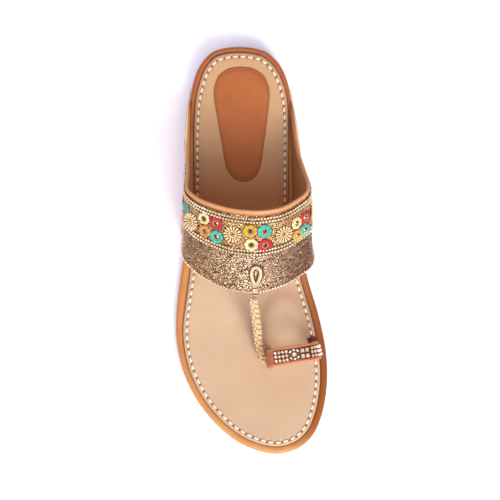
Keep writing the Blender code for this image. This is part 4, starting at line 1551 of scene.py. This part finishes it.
@dataclass
class Trims:
    """Chains, embroidered ribbon, rosettes and sunbursts on the band."""

    shape: BandShape
    ears: Ears
    rows: tuple = (0.082, 0.123, 0.470, 0.512)
    row_half: float = 0.021
    edge_row: float = 0.975
    bead_pitch: float = 1.9
    bead: float = 0.86
    edge_bead: float = 0.78
    # girth at which the ribbon and the nets start and, from the far end, stop
    trim_start: float = 2.9
    # radius and height of the stones in the flowers and in the sunbursts
    flower_stone: tuple = (1.7, 1.2)
    sun_stone: tuple = (0.85, 1.35)
    sun_radius: float = 5.9
    # seed beads: first row, end and step of the rows along, then pitch and radius
    seed_rows: tuple = (0.161, 0.44, 0.0255)
    seed_pitch: float = 1.35
    seed: float = 0.5
    # rosettes: silk, station and place across in plan, radius
    rosettes: tuple = (
        (Silk.TEAL, 101.5, -40.0, 3.9),
        (Silk.CREAM, 107.6, -29.0, 4.1),
        (Silk.RED, 110.8, -21.7, 4.6),
        (Silk.ORANGE, 115.6, -28.6, 4.2),
        (Silk.TEAL, 118.9, -21.4, 4.5),
        (Silk.YELLOW, 115.6, -1.0, 4.6),
        (Silk.TEAL, 115.4, 8.0, 4.6),
        (Silk.CREAM, 123.8, -0.2, 4.4),
        (Silk.RED, 124.2, 8.2, 4.6),
        (Silk.CREAM, 110.7, 27.2, 4.1),
        (Silk.RED, 107.2, 32.6, 4.3),
        (Silk.YELLOW, 118.2, 28.0, 4.2),
        (Silk.TEAL, 114.6, 32.8, 4.3),
    )
    # rosettes down the two sides: silk, girth, along, radius
    low_rosettes: tuple = (
        (Silk.ORANGE, 4.00, 0.405, 4.1),
        (Silk.RED, 3.72, 0.235, 4.2),
        (Silk.CREAM, 3.38, 0.400, 4.2),
        (Silk.TEAL, 11.88, 0.225, 4.0),
        (Silk.YELLOW, 11.86, 0.395, 4.0),
    )
    sunbursts: tuple = ((109.4, -37.0), (117.4, -11.4), (117.4, 19.6), (101.5, 36.6))
    crystal: Gem = Gem("chain_crystal", tint(248, 228, 198), tint(206, 172, 130), rough=0.10, metallic=0.25)
    net: Glitter = Glitter(
        "chain_net", tint(92, 56, 32), tint(40, 22, 12), tint(206, 166, 112),
        grain=0.50, tilt=0.6, metallic=0.4,
    )
    ground: Glitter = Glitter(
        "ribbon_ground", tint(166, 112, 52), tint(46, 20, 6), tint(246, 220, 164),
        grain=0.72, tilt=0.6, metallic=0.2,
        # soft strips that darken the ground towards both sides of the band
        light_and_tone_strips=((0, 50.0, 16.0, 22.0, tint(226, 196, 184)), (0, -50.0, 16.0, 22.0, tint(222, 188, 176))),
    )
    gold: Gem = Gem("gold_bead", tint(250, 222, 164), tint(190, 136, 70), rough=0.24, metallic=0.45, coat=0.3)
    stone: Gem = Gem("dark_stone", tint(22, 34, 28), tint(70, 84, 66), rough=0.06, metallic=0.2)

    def open_spots(self, along: float, pitch: float) -> list[Spot]:
        """Evenly spaced spots of one line over the band that no ear hides."""
        girth = self.shape.run(along, 2.4, self.shape.ends - 2.4, pitch)
        return self.ears.clear_of(self.shape.spots(girth, along), 0.4)

    def beads(self, form: Form, along: float, lift: float, size: float, pitch: float) -> None:
        """A row of cut crystals over the band.

        Args:
            form: The bmesh that gets them.
            along: Where the row lies from back to front.
            lift: Height of their middles over the band.
            size: Their radius.
            pitch: Distance from one to the next.
        """
        for i, spot in enumerate(self.open_spots(along, pitch)):
            made = bmesh.ops.create_uvsphere(form, u_segments=8, v_segments=5, radius=size)
            turn = 0.35 * math.sin(i * 2.1)
            settle(made, lambda x, y, z: spot.point(*turned(x, y, turn), lift + 0.78 * z))

    def chains(self) -> None:
        """The two double rows beside the ribbon, and the row on the edge."""
        form = new_form()
        reach = self.row_half + 0.006
        for low, high in (self.rows[:2], self.rows[2:]):
            low, high = low - reach, high + reach
            net = self.shape.strip((
                (low, -0.1), (low, 0.42), (low + 0.006, 0.56), (high - 0.006, 0.56), (high, 0.42), (high, -0.1),
                (low, -0.1),
            ), self.trim_start)
            wrapped(form, 150, 6, net, capped=True)
        finished("chain_net", form, [self.net])
        form = new_form()
        for row in self.rows:
            self.beads(form, row, 1.0, self.bead, self.bead_pitch)
        finished("chain_crystals", form, [self.crystal], ["trim_ribbon"], 25.0)
        form = new_form()
        self.beads(form, self.edge_row, 0.75, self.edge_bead, self.bead_pitch)
        finished("edge_crystals", form, [self.crystal], ["edge_chain"], 25.0)

    def ribbon(self) -> Piece:
        """The ground that the flowers are sewn on."""
        profile = ((0.146, -0.1), (0.146, 0.34), (0.154, 0.46), (0.22, 0.50), (0.30, 0.52), (0.38, 0.50),
                   (0.439, 0.46), (0.447, 0.34), (0.447, -0.1), (0.146, -0.1))
        form = new_form()
        wrapped(form, 170, len(profile) - 1, self.shape.strip(profile, self.trim_start), capped=True)
        return finished("embroidered_ground", form, [self.ground])

    @staticmethod
    def rosette(form: Form, spot: Spot, radius: float, material: int, turn: float) -> None:
        """One flower of radial satin stitch round a hollow for its stone.

        Args:
            form: The bmesh that gets it.
            spot: Its place on the band.
            radius: Its radius.
            material: The index of its silk.
            turn: How far its petals are turned.
        """
        profile = ((1.0, 0.45), (1.02, 0.75), (0.96, 1.15), (0.84, 1.50),
                   (0.68, 1.62), (0.54, 1.48), (0.46, 1.15), (0.42, 0.8))
        part, rise = np.array(profile).T

        def surface(u: Array, v: Array) -> Array:
            """A point of the flower's thread."""
            row = whole(v, len(profile) - 1)
            angle = math.tau * u
            petal = np.abs(np.sin(3.5 * angle + turn))
            reach = radius * part[row] * (1 - 0.13 * (1 - petal) ** 2 * (row < 4))
            reach = reach + 0.09 * np.cos(36 * angle) * (row < 3)
            high = rise[row] - 0.24 * (1 - petal) ** 3 * (row > 0) + 0.10 * np.cos(36 * angle) * (row > 0)
            return spot.round(reach, angle, high)

        def deep(u: Array, v: Array) -> Array:
            """Painted shade on the thread towards the hollow, between the petals and at the outer foot."""
            petal = np.abs(np.sin(3.5 * math.tau * u + turn))
            return np.clip(0.75 * bump(1 - v, 0.16) + 0.45 * (1 - petal) ** 4 + 0.4 * bump(v, 0.1), 0, 1)

        def outline(u: Array, v: Array) -> Array:
            """A dark ring round the flower's foot, painted shadow that it casts on the ribbon."""
            angle, roll = math.tau * u, math.tau * v
            reach = radius * (1.0 - 0.06 * (1 - np.abs(np.sin(3.5 * angle + turn)))) + 0.5 * np.cos(roll)
            return spot.round(reach, angle, 0.52 + 0.3 * np.sin(roll))

        # deep lays painted shade on the silk
        wrapped(form, 72, len(profile) - 1, surface, deep, material, capped=True)
        # the dark ring of painted shadow round the flower
        wrapped(form, 42, 6, outline, None, len(Silk))

    @staticmethod
    def set_stone(form: Form, spot: Spot, size: float, lift: float) -> None:
        """A faceted stone in a gold collar.

        Args:
            form: The bmesh that gets it.
            spot: Its place on the band.
            size: Its radius.
            lift: Height of its girdle over the band.
        """
        made = bmesh.ops.create_cone(
            form, cap_ends=True, segments=8, radius1=size, radius2=size * 0.45, depth=0.55)
        settle(made, lambda x, y, z: spot.point(x, y, lift + z))

        def collar(u: Array, v: Array) -> Array:
            """The gold collar round the stone."""
            turn, roll = math.tau * u, math.tau * v
            return spot.round(size * 1.08 + 0.26 * np.cos(roll), turn, lift - 0.15 + 0.26 * np.sin(roll))

        wrapped(form, 18, 6, collar, None, 1)

    @staticmethod
    def sunburst(form: Form, spot: Spot, radius: float, rays: int = 15) -> None:
        """Rays of gold yarn round a small ring, on a dark ground.

        Args:
            form: The bmesh that gets it.
            spot: Its place on the band.
            radius: Its radius.
            rays: How many rays it has.
        """

        def ground(u: Array, v: Array) -> Array:
            """A low dark disc under the rays."""
            slope = v * math.pi / 2
            return spot.round(radius * 1.02 * np.sin(slope), math.tau * u, 0.40 + 0.22 * np.cos(slope))

        def section(roll: Array, v: Array) -> tuple[Array, Array]:
            """A ray that swells towards its outer end."""
            size = closing(v, 0.34 + 0.64 * v**1.3)
            return size * np.cos(roll), 0.8 * size * np.sin(roll)

        wrapped(form, 36, 5, ground, None, 1)
        part = np.linspace(0, 1, 8)
        for k in range(rays):
            turn = math.tau * (k + 0.5) / rays
            wide = spot.across * -math.sin(turn) + spot.down * math.cos(turn)
            path = spot.round(radius * (0.40 + 0.60 * part), turn, 0.62 + 0.62 * np.sin(math.pi * part) ** 0.7)

            swept(form, path, np.tile(wide, (8, 1)), section, 6)
        for reach, thick, height, index in ((0.36, 0.42, 0.95, 0), (0.22, 0.40, 1.15, 2)):

            def hoop(u: Array, v: Array) -> Array:
                """A wound ring of yarn inside the rays."""
                turn, roll = math.tau * u, math.tau * v
                size = thick * (1 + 0.16 * np.cos(14 * turn))
                return spot.round(radius * reach + size * np.cos(roll), turn, height + size * np.sin(roll))

            wrapped(form, 42, 6, hoop, None, index)

    def embroidery(self) -> None:
        """Flowers, sunbursts, stones and the seed beads between them."""
        silks = list(Silk)
        threads = [
            Thread("silk_" + silk.name.lower(), *silk.value, threads=0.0, twist=36.0, relief=0.10, sheen=0.1)
            for silk in silks
        ]
        metal = Thread("gold_yarn", *Silk.GOLD.value, threads=6.0, twist=3.0, relief=0.10, sheen=0.3)
        # dark thread for the sunbursts' ground and for the painted shadow round each flower
        dark = Thread("dark_ground_and_painted_shadow", tint(84, 44, 16), tint(46, 22, 8), tint(130, 78, 34), threads=5.0, twist=20.0)
        flowers, stones, suns, seeds = new_form(), new_form(), new_form(), new_form()
        taken = []
        found = [(silk, *self.shape.find(*plan), radius) for silk, *plan, radius in self.rosettes]
        for k, (silk, girth, along, radius) in enumerate([*found, *self.low_rosettes]):
            spot = self.shape.spot(girth, along)
            self.rosette(flowers, spot, radius, silks.index(silk), 1.3 * k)
            self.set_stone(stones, spot, *self.flower_stone)
            taken.append((spot.here, radius + 0.3))
        for plan in self.sunbursts:
            spot = self.shape.spot(*self.shape.find(*plan))
            self.sunburst(suns, spot, self.sun_radius)
            self.set_stone(stones, spot, *self.sun_stone)
            taken.append((spot.here, self.sun_radius + 0.1))
        finished("rosettes", flowers, [*threads, dark], sharp=80.0)
        finished("sunbursts", suns, [metal, dark, threads[3]], sharp=80.0)
        finished("set_stones", stones, [self.stone, self.gold], sharp=20.0)
        for along in np.arange(*self.seed_rows):
            for spot in self.open_spots(along, self.seed_pitch):
                if all(np.linalg.norm(spot.here - middle) > reach for middle, reach in taken):
                    made = bmesh.ops.create_uvsphere(seeds, u_segments=6, v_segments=4, radius=self.seed)
                    settle(made, lambda x, y, z: spot.point(x, y, 0.75 + z))
        finished("seed_beads", seeds, [self.gold])


# Ring, plaited cord and rivets


@dataclass
class ToeRing:
    """Leather ring for the big toe, with three rows of stones."""

    sole: SoleShape
    outer_foot: tuple = (196.2, 11.6)
    inner_foot: tuple = (189.5, 40.0)
    rise: float = 29.5
    lean: float = 0.6
    bulge: tuple = (4.3, 4.6)
    width: float = 11.0
    wall: float = 2.0
    sections: int = 90
    # half lengths along and across, and height, of each kind of stone
    round_stone: tuple = (1.06, 1.14, 0.75)
    heart_stone: tuple = (1.6, 1.6, 1.0)
    side_stone: tuple = (0.85, 0.8, 0.6)
    baguette: tuple = (1.5, 0.8, 0.7)
    square_stone: tuple = (1.75, 1.85, 0.75)
    row_pitch: float = 2.3
    hide: Leather = Leather(
        "ring_leather", tint(186, 103, 58), tint(146, 72, 38), tint(214, 138, 92),
        grain=0.7, mottle=0.45, rough=0.46, relief=0.05, coat=0.06,
    )
    # painted shade: a darker copy of the ring's leather for the strap's end behind the ring
    tail: Leather = Leather(
        "tail_leather_in_painted_shade", tint(114, 52, 28), tint(80, 34, 18), tint(164, 92, 60),
        grain=0.7, mottle=0.6, rough=0.5, relief=0.06,
    )
    clear: Gem = Gem("ring_crystal", tint(255, 238, 218), tint(196, 150, 120), rough=0.10, metallic=0.2)
    setting: Gem = Gem("ring_setting", tint(108, 62, 40), tint(58, 30, 16), rough=0.35, metallic=0.2, coat=0.1)
    middle: Array = field(init=False)
    wide: Array = field(init=False)
    normal: Array = field(init=False)

    def __post_init__(self) -> None:
        """Draws the ring's middle line and the directions of its section."""
        angle = np.linspace(0, math.pi, self.sections)
        part = (1 - np.cos(angle)) / 2
        outer_foot, inner_foot = np.array(self.outer_foot), np.array(self.inner_foot)
        direction = inner_foot - outer_foot
        rise = np.sin(angle) ** 0.72
        squared = 0.5 - 0.5 * np.sign(np.cos(angle)) * np.abs(np.cos(angle)) ** 0.8
        base = outer_foot[None, :] + direction[None, :] * squared[:, None]
        base[:, 1] -= np.where(angle < math.pi / 2, *self.bulge) * np.sin(2 * angle)
        base[:, 0] -= self.lean * rise * (1 - 0.6 * part)
        low, high = self.sole.sock_top(outer_foot[0]), self.sole.sock_top(inner_foot[0])
        line = np.column_stack([base, low + (high - low) * part + 1.2 + self.rise * rise])
        self.middle = spaced(rounded(line[::3], 6, closed=False), self.sections)
        across = unit(np.array([direction[1], -direction[0], 0.0]))
        square = np.clip((0.55 - np.linspace(0, 1, self.sections)) / 0.2, 0, 1)[:, None]
        across = across * (1 - square) + np.array([1.0, 0.0, 0.0]) * square
        self.wide, normal = square_to(self.middle, across)
        self.normal = normal * np.sign((normal * (self.middle - self.middle.mean(axis=0))).sum(axis=1))[:, None]

    def at(self, run: float, offset: float, lift: float) -> Spot:
        """A spot on the ring.

        Args:
            run: Distance along the ring from its outer foot.
            offset: Distance from its middle line, towards its front edge.
            lift: Height over its outer face.

        Returns:
            The spot, its directions along, across and out of the ring.
        """
        line = travelled(self.middle)

        def read_at(run: float, values: Array) -> Array:
            """The values of the ring's line at a distance."""
            return np.array([np.interp(run, line, values[:, i]) for i in range(3)])

        point = read_at(run, self.middle)
        wide, normal = unit(read_at(run, self.wide)), unit(read_at(run, self.normal))
        along = np.cross(normal, wide)
        along *= 1.0 if along @ (read_at(run + 0.5, self.middle) - point) >= 0 else -1.0
        return Spot(point + wide * offset + normal * lift, along, wide, normal)

    def strap(self) -> Piece:
        """The ring's leather, folded at its two edges."""
        half, wall = self.width / 2, self.wall
        edge_in = ((0.9, 0.10), (0.4, 0.02), (0.08, -0.30), (0.0, -wall / 2), (0.12, -wall + 0.3), (0.6, -wall))
        profile = [(inset - half, lift) for inset, lift in edge_in]
        profile += [(-2.0, -wall - 0.02), (0.0, -wall), (2.0, -wall - 0.02)]
        profile += [(half - inset, lift) for inset, lift in reversed(edge_in)]
        profile += [(half - 1.3, -0.06), (2.2, 0.06), (0.0, 0.15), (-2.2, 0.06), (1.3 - half, -0.06)]
        profile += [(0.9 - half, 0.10)]
        offset, lift = np.array(profile).T
        last = len(self.middle) - 1

        def surface(u: Array, v: Array) -> Array:
            """A point of the folded strap, resting on the sock at its feet."""
            i, row = whole(u, last), whole(v, len(profile) - 1)
            feet = bump(np.minimum(u, 1 - u), 0.16)
            soft = 0.12 * feet * np.sin(self.middle[i, 2] * 1.5 + offset[row] * 0.7)
            out = self.normal[i] * (lift[row] + soft)[:, None]
            point = self.middle[i] + self.wide[i] * offset[row][:, None] + out
            clear = self.sole.sock_top(point[:, 0]) + SEAT_GAP
            point[:, 2] = np.where((i == 0) | (i == last), clear, np.maximum(point[:, 2], clear))
            return point

        def edge(u: Array, v: Array) -> Array:
            """Paler leather where the edges are folded."""
            return 0.8 * bump(np.abs(offset[whole(v, len(profile) - 1)]) - half + 0.5, 0.5)

        form = new_form()
        wrapped(form, last, len(profile) - 1, surface, edge, capped=True)
        return finished("ring_strap", form, [self.hide], ["toe_ring"])

    def strap_tail(self) -> Piece:
        """The strap's end that goes into the sock behind the inner foot."""
        line = rounded([
            (182.4, 37.2, -0.5), (183.2, 37.6, 0.8), (184.6, 38.3, 1.9),
            (186.2, 39.0, 2.9), (187.6, 39.7, 3.9), (188.6, 40.2, 4.8),
        ], 6, closed=False)
        line[:, 2] += self.sole.sock_top(line[:, 0])

        def section(turn: Array, v: Array) -> tuple[Array, Array]:
            """A flat strap gathered in three soft folds."""
            size = closing(v, 1.0)
            wide = (2.5 + 1.1 * v) * np.cos(turn)
            fold = 0.34 * np.sin(wide * 2.1 + 5.0 * v) * size
            return size * wide, size * 0.75 * np.sin(turn) + fold

        def gathered(u: Array, v: Array) -> Array:
            """Paler leather on the crests of the folds."""
            return 0.7 * bump(np.abs(np.cos(math.tau * u)) - 1, 0.12)

        form = new_form()
        swept(form, line, np.array([-0.40, 0.92, 0.0]), section, 32, gathered)
        return finished("ring_tail", form, [self.tail])

    def stone(self, form: Form, run: float, offset: float, size: tuple, turn: float, sides: int) -> None:
        """One stone on the ring in its setting.

        Args:
            form: The bmesh that gets it.
            run: Distance along the ring.
            offset: Distance from the middle line.
            size: Half lengths along and across, and height.
            turn: How far it is turned on the face, in radians.
            sides: Sides of its outline.
        """
        spot = self.at(run, offset, 0.1)
        spin = math.pi / 4 if sides == 4 else 0.0
        for grow, high, lift, top, index in (
            (1.14, 0.5, 0.2, 0.95, 1),
            (1.0, size[2], 0.35 + size[2] / 2, 0.62, 0),
        ):

            def where(x: float, y: float, z: float) -> Array:
                """A point of the stone or its setting, stretched and then turned."""
                x, y = turned(x, y, spin)
                return spot.point(*turned(x * size[0] * grow, y * size[1] * grow, turn), lift + z * high)

            made = bmesh.ops.create_cone(form, cap_ends=True, segments=sides, radius1=1.0, radius2=top, depth=1.0)
            settle(made, where)
            for face in {f for v in made["verts"] for f in v.link_faces}:
                face.material_index = index

    def stones(self) -> Piece:
        """Rows of round stones, a larger one among baguettes, and squares."""
        form = new_form()
        line = travelled(self.middle)
        start = float(np.interp(13.6, self.middle[: self.sections // 2, 1], line[: self.sections // 2])) + 1.0
        heart, last = start + 12.6, start + 36.6
        profile = ((-3.8, 0.0), (-3.75, 0.2), (0.0, 0.32), (3.75, 0.2), (3.8, 0.0), (0.0, 0.02), (-3.8, 0.0))

        def plate(u: Array, v: Array) -> Array:
            """The dark strip that the settings are fixed on."""
            rows = whole(v, len(profile) - 1)
            return np.array([self.at(start - 0.6 + a * (last - start), *profile[b]).here for a, b in zip(u, rows)])

        def rows_of(first: float, pitch: float, count: int, offsets: tuple, size: tuple, sides: int) -> None:
            """Sets rows of like stones across the ring."""
            for row in range(count):
                for offset in offsets:
                    self.stone(form, first + pitch * row, offset, size, 0.0, sides)

        wrapped(form, 48, len(profile) - 1, plate, None, 1, capped=True)
        three = (-2.5, 0.0, 2.5)
        rows_of(start + 1.0, self.row_pitch, 4, three, self.round_stone, 8)
        self.stone(form, heart, 0.0, self.heart_stone, 0.0, 8)
        for side_run, side_offset in ((-1, -1), (-1, 1), (1, -1), (1, 1)):
            turn = math.atan2(side_offset, side_run) + math.pi / 2
            self.stone(form, heart + 2.2 * side_run, 2.1 * side_offset, self.baguette, turn, 4)
        rows_of(heart, 0.0, 1, (-2.85, 2.85), self.side_stone, 8)
        rows_of(heart + 5.3, 3.0, 2, (-1.75, 1.75), self.square_stone, 4)
        rows_of(heart + 11.6, self.row_pitch, 6, three, self.round_stone, 8)
        return finished("ring_stones", form, [self.clear, self.setting], sharp=20.0)


@dataclass
class ToeCord:
    """Plaited cord from the band down to the ring, with its loop."""

    sole: SoleShape
    band: BandShape
    # station, across, height
    route: tuple = (
        ("over_edge", 157.4, 1.3, 54.0),
        ("edge", 160.2, 1.5, 49.6),
        ("upper", 168.0, 2.5, 40.0),
        ("middle", 177.5, 3.6, 30.6),
        ("lower", 186.5, 4.7, 21.6),
        ("foot", 193.2, 6.5, 15.3),
        ("tail", 197.4, 9.0, 15.0),
    )
    width: float = 6.2
    plait_pitch: float = 9.6
    strand: tuple = (1.42, 1.0)
    loop_top: float = 0.665
    loop_foot: float = 0.86
    loop_centre: float = 8.03
    loop_half: float = 0.245
    loop_radius: float = 1.08
    yarn: Thread = Thread(
        "plait_yarn", tint(220, 184, 138), tint(86, 48, 24), tint(252, 232, 196),
        threads=30.0, twist=2.0, relief=0.18, sheen=0.2,
    )
    gimp: Thread = Thread(
        "loop_gimp", tint(244, 218, 176), tint(150, 104, 62), tint(255, 242, 212),
        threads=2.0, twist=24.0, relief=0.16, sheen=0.2,
    )
    # dark yarn for two turns of the wrapping and for the painted shadow round the loop
    dark_wraps_and_shadow: Thread = Thread(
        "loop_dark_wraps_and_painted_shadow", tint(54, 30, 16), tint(32, 16, 8), tint(96, 60, 34), threads=3.0, twist=40.0,
    )

    def strands(self) -> Piece:
        """Three strands that pass over and under each other."""
        line = rounded([row[1:] for row in self.route], 20, closed=False)
        path = spaced(line, int(travelled(line)[-1] / 0.36))
        run = travelled(path)
        side, up = square_to(path, np.array([0.0, 1.0, 0.0]))
        up *= np.where(up[:, 2:3] < 0, -1.0, 1.0)
        swing = self.width / 2 - self.strand[0]
        taper = 1 - 0.45 * bump(run, 2.0) - 0.25 * bump(run - run[-1], 1.2)
        form = new_form()
        for k in range(3):
            phase = math.tau * (run / self.plait_pitch + k / 3)
            centre = path + side * (swing * taper * np.sin(phase))[:, None] + up * (0.62 * np.sin(2 * phase))[:, None]

            def section(turn: Array, v: Array) -> tuple[Array, Array]:
                """A flattened strand of three yarns that closes at its ends."""
                yarns = 1 + 0.13 * np.abs(np.cos(1.5 * turn + 40 * v))
                size = closing(v, yarns * 0.94)
                return size * self.strand[0] * np.cos(turn), size * self.strand[1] * np.sin(turn)

            def under(u: Array, v: Array) -> Array:
                """Painted shade on the yarn where another strand passes over."""
                turn = math.tau * (v * run[-1] / self.plait_pitch + k / 3)
                return np.clip(-1.7 * np.sin(2 * turn) * (1 - np.abs(np.sin(turn))) ** 1.1, 0, 1)

            # under lays painted shade where the strands cross
            swept(form, centre, side, section, 14, under)
        return finished("plaited_cord", form, [self.yarn], ["toe_cord"], 80.0)

    def loop(self) -> Piece:
        """Drop-shaped loop on the band with a dark ring of painted shadow round it, the wrapping at its foot and the
        stem.
        """
        form = new_form()

        def line(turn: Array) -> tuple[Array, Array, Array]:
            """The loop's line on the band, with its ways out and up."""
            along = eased(self.loop_top, self.loop_foot, turn)
            girth = self.loop_centre + self.loop_half * np.sin(turn) * (1 - 0.35 * (1 - np.cos(turn)) / 2)
            here, across, down, normal = self.band.frame_at(girth, along)
            return here, across * np.sin(turn)[:, None] - down * np.cos(turn)[:, None], normal

        def drop(u: Array, v: Array) -> Array:
            """The twisted cord of the loop."""
            turn, roll = math.tau * u, math.tau * v
            here, out, normal = line(turn)
            size = self.loop_radius * (1 + 0.10 * np.cos(2 * roll + 26 * turn))
            high = SEAT_GAP + 1.0 + size * np.sin(roll)
            return here + out * (size * np.cos(roll))[:, None] + normal * high[:, None]

        def shadow_ring(u: Array, v: Array) -> Array:
            """A dark ring round the loop, painted shadow that it casts on the band."""
            turn, roll = math.tau * u, math.tau * v
            here, out, normal = line(turn)
            wide = (1.95 + 0.12 * np.cos(30 * turn)) * np.cos(roll)
            return here + out * wide[:, None] + normal * (SEAT_GAP + 0.3 + 0.32 * np.sin(roll))[:, None]

        wrapped(form, 120, 12, drop)
        # the dark ring of painted shadow round the loop
        wrapped(form, 120, 6, shadow_ring, None, 1)
        stem_at = np.linspace(0.845, 1.012, 24)
        here, across, _, normal = self.band.frame_at(self.loop_centre - 0.03, stem_at)
        drop_off = np.clip(stem_at - 0.97, 0, 1) * 22
        path = here + normal * (1.25 - drop_off[:, None] * 0.4)
        path[-1] = np.array(self.route[0][1:]) + np.array([1.0, 0.0, -1.2])

        def stem(turn: Array, v: Array) -> tuple[Array, Array]:
            """A flat stem of two yarns side by side."""
            waist = np.abs(np.cos(turn)) ** 0.8
            size = closing(v, 1.0)
            high = np.sin(turn) * (0.95 - 0.30 * bump(np.cos(turn), 0.25))
            return 1.6 * size * np.sign(np.cos(turn)) * waist, size * high

        swept(form, path, across, stem, 20)
        for at, index in ((0.862, 0), (0.875, 0), (0.888, 0), (0.910, 1), (0.985, 1)):
            spot = self.band.spot(self.loop_centre - 0.02, at)

            def wrap(u: Array, v: Array) -> Array:
                """One turn of the wrapping round the stem."""
                turn, roll = math.tau * u, math.tau * v
                wide, high = 1.85 + 0.34 * np.cos(roll), 1.05 + 0.34 * np.cos(roll)
                return spot.point(wide * np.cos(turn), 0.36 * np.sin(roll), 1.15 + high * np.sin(turn))

            wrapped(form, 28, 8, wrap, None, index)
        return finished("cord_loop_and_stem", form, [self.gimp, self.dark_wraps_and_shadow], ["cord_loop"], 80.0)


@dataclass
class Rivets:
    """Domed steel rivets through the ears."""

    side: SideShape
    station: float = 103.0
    height: float = 35.0
    stand: float = 1.4
    steel: Gem = Gem("rivet_steel", tint(226, 222, 218), tint(168, 162, 158), rough=0.16, metallic=1.0, coat=0.0)

    def rivet(self, name: str, inner: bool) -> Piece:
        """One rivet, its cap set in a rolled ring.

        Args:
            name: The piece's name, which is also its CAD node's.
            inner: Whether it sits on the inner side.

        Returns:
            The piece.
        """
        sign = 1.0 if inner else -1.0
        step = 1.5

        def face(station: float, height: float) -> Array:
            """A point of the ear's outer face."""
            across = self.side.across(np.array([station]), np.array([height]), inner)[0] + sign * self.stand
            return np.array([station, across, height])

        here = face(self.station, self.height)
        ahead = unit(face(self.station + step, self.height) - here)
        above = unit(face(self.station, self.height + step) - here)
        out = unit(np.cross(ahead, above))
        spot = Spot(here, ahead, above, out * sign * np.sign(out[1]))
        profile = ((0.0, -0.2), (3.35, -0.2), (3.42, 0.05), (3.40, 0.42), (3.15, 0.66), (2.80, 0.70), (2.55, 0.52),
                   (2.48, 0.42), (2.40, 0.62), (2.1, 0.98), (1.6, 1.28), (0.9, 1.45), (0.0, 1.5))
        reach, lift = np.array(profile).T

        def surface(u: Array, v: Array) -> Array:
            """A point of the rivet's skin, lightly hammered on its cap."""
            row, turn = whole(v, len(profile) - 1), math.tau * u
            hammered = 0.06 * np.sin(4 * turn + row) * (row > 8)
            return spot.round(reach[row], turn, lift[row] + hammered)

        form = new_form()
        wrapped(form, 36, len(profile) - 1, surface)
        return finished(name + "_cap", form, [self.steel], [name])


# Room and order of work


@dataclass
class Studio:
    """Pale floor that glows a little, soft lights and a camera straight over the shoe."""

    height: float = 3.0
    view_width: float = 0.315
    middle: tuple = (-0.001, 0.0)
    floor_tint: tuple = tint(244, 242, 244)
    # name, place, size, power and colour
    lights: tuple = (
        ("key", (0.50, -0.95, 1.20), 0.75, 26.0, (1.0, 0.975, 0.94)),
        ("back", (0.15, 1.1, 1.2), 1.0, 3.8, (1.0, 0.95, 0.90)),
        ("top", (0.10, -0.45, 1.8), 1.0, 9.0, (0.98, 0.98, 1.0)),
        ("side", (-1.1, -0.5, 0.6), 0.8, 4.5, (1.0, 0.98, 0.96)),
    )

    def floor(self) -> Piece:
        """The floor under the shoe."""
        form = bmesh.new()
        bmesh.ops.create_grid(form, x_segments=2, y_segments=2, size=3.0)
        mesh = bpy.data.meshes.new("floor")
        form.to_mesh(mesh)
        form.free()
        material = bpy.data.materials.new("pale_floor")
        material.use_nodes = True
        give(material.node_tree.nodes["Principled BSDF"], {
            "Base Color": self.floor_tint, "Roughness": 0.85,
            # the floor glows pale lavender: painted light that lifts its shadows and tints them lavender
            "Emission Color": (0.70, 0.68, 1.0, 1.0), "Emission Strength": 0.41,
        })
        mesh.materials.append(material)
        floor = set_out("floor", mesh)
        return floor

    def light(self, name: str, where: tuple, size: float, power: float, colour: tuple) -> None:
        """A square soft light that faces the shoe."""
        lamp = bpy.data.lights.new(name, "AREA")
        lamp.size, lamp.energy, lamp.color = size, power, colour
        holder = set_out(name, lamp)
        holder.location = where
        holder.rotation_euler = (-Vector(where)).to_track_quat("-Z", "Y").to_euler()

    def set_up(self) -> None:
        """Everything round the shoe."""
        self.floor()
        for light in self.lights:
            self.light(*light)
        world = bpy.data.worlds.new("studio_air")
        world.use_nodes = True
        give(world.node_tree.nodes["Background"], {"Color": (1.0, 0.88, 0.78, 1.0), "Strength": 0.28})
        scene = bpy.context.scene
        scene.world = world
        scene.view_settings.view_transform = "Standard"
        lens = bpy.data.cameras.new("overhead")
        lens.sensor_width = 36.0
        lens.lens = 36.0 * self.height / self.view_width
        lens.clip_end = 20.0
        scene.camera = set_out("overhead", lens)
        scene.camera.location = (*self.middle, self.height)


def main() -> None:
    """Builds the sandal, piece by piece, in its studio."""
    logging.basicConfig(level=logging.INFO, format="%(name)s: %(message)s")
    sole = SoleShape()
    side = SideShape(sole)
    shape = BandShape(side)
    bottom, footbed = Bottom(sole), Footbed(sole)
    bottom.outsole()
    bottom.heel()
    bottom.board()
    footbed.lining()
    footbed.stitches()
    footbed.heel_patch()
    ears, band = Ears(side), InstepBand(shape)
    ears.ear("outer_ear", False)
    ears.ear("inner_ear", True)
    band.wall()
    band.edge_binding()
    band.glitter_panel()
    GlitterChips(shape, ears).make()
    trims = Trims(shape, ears)
    trims.ribbon()
    trims.chains()
    trims.embroidery()
    ring = ToeRing(sole)
    ring.strap()
    ring.strap_tail()
    ring.stones()
    cord = ToeCord(sole, shape)
    cord.strands()
    cord.loop()
    rivets = Rivets(side)
    rivets.rivet("rivet_outer", False)
    rivets.rivet("rivet_inner", True)
    Studio().set_up()


if __name__ == "__main__":
    main()
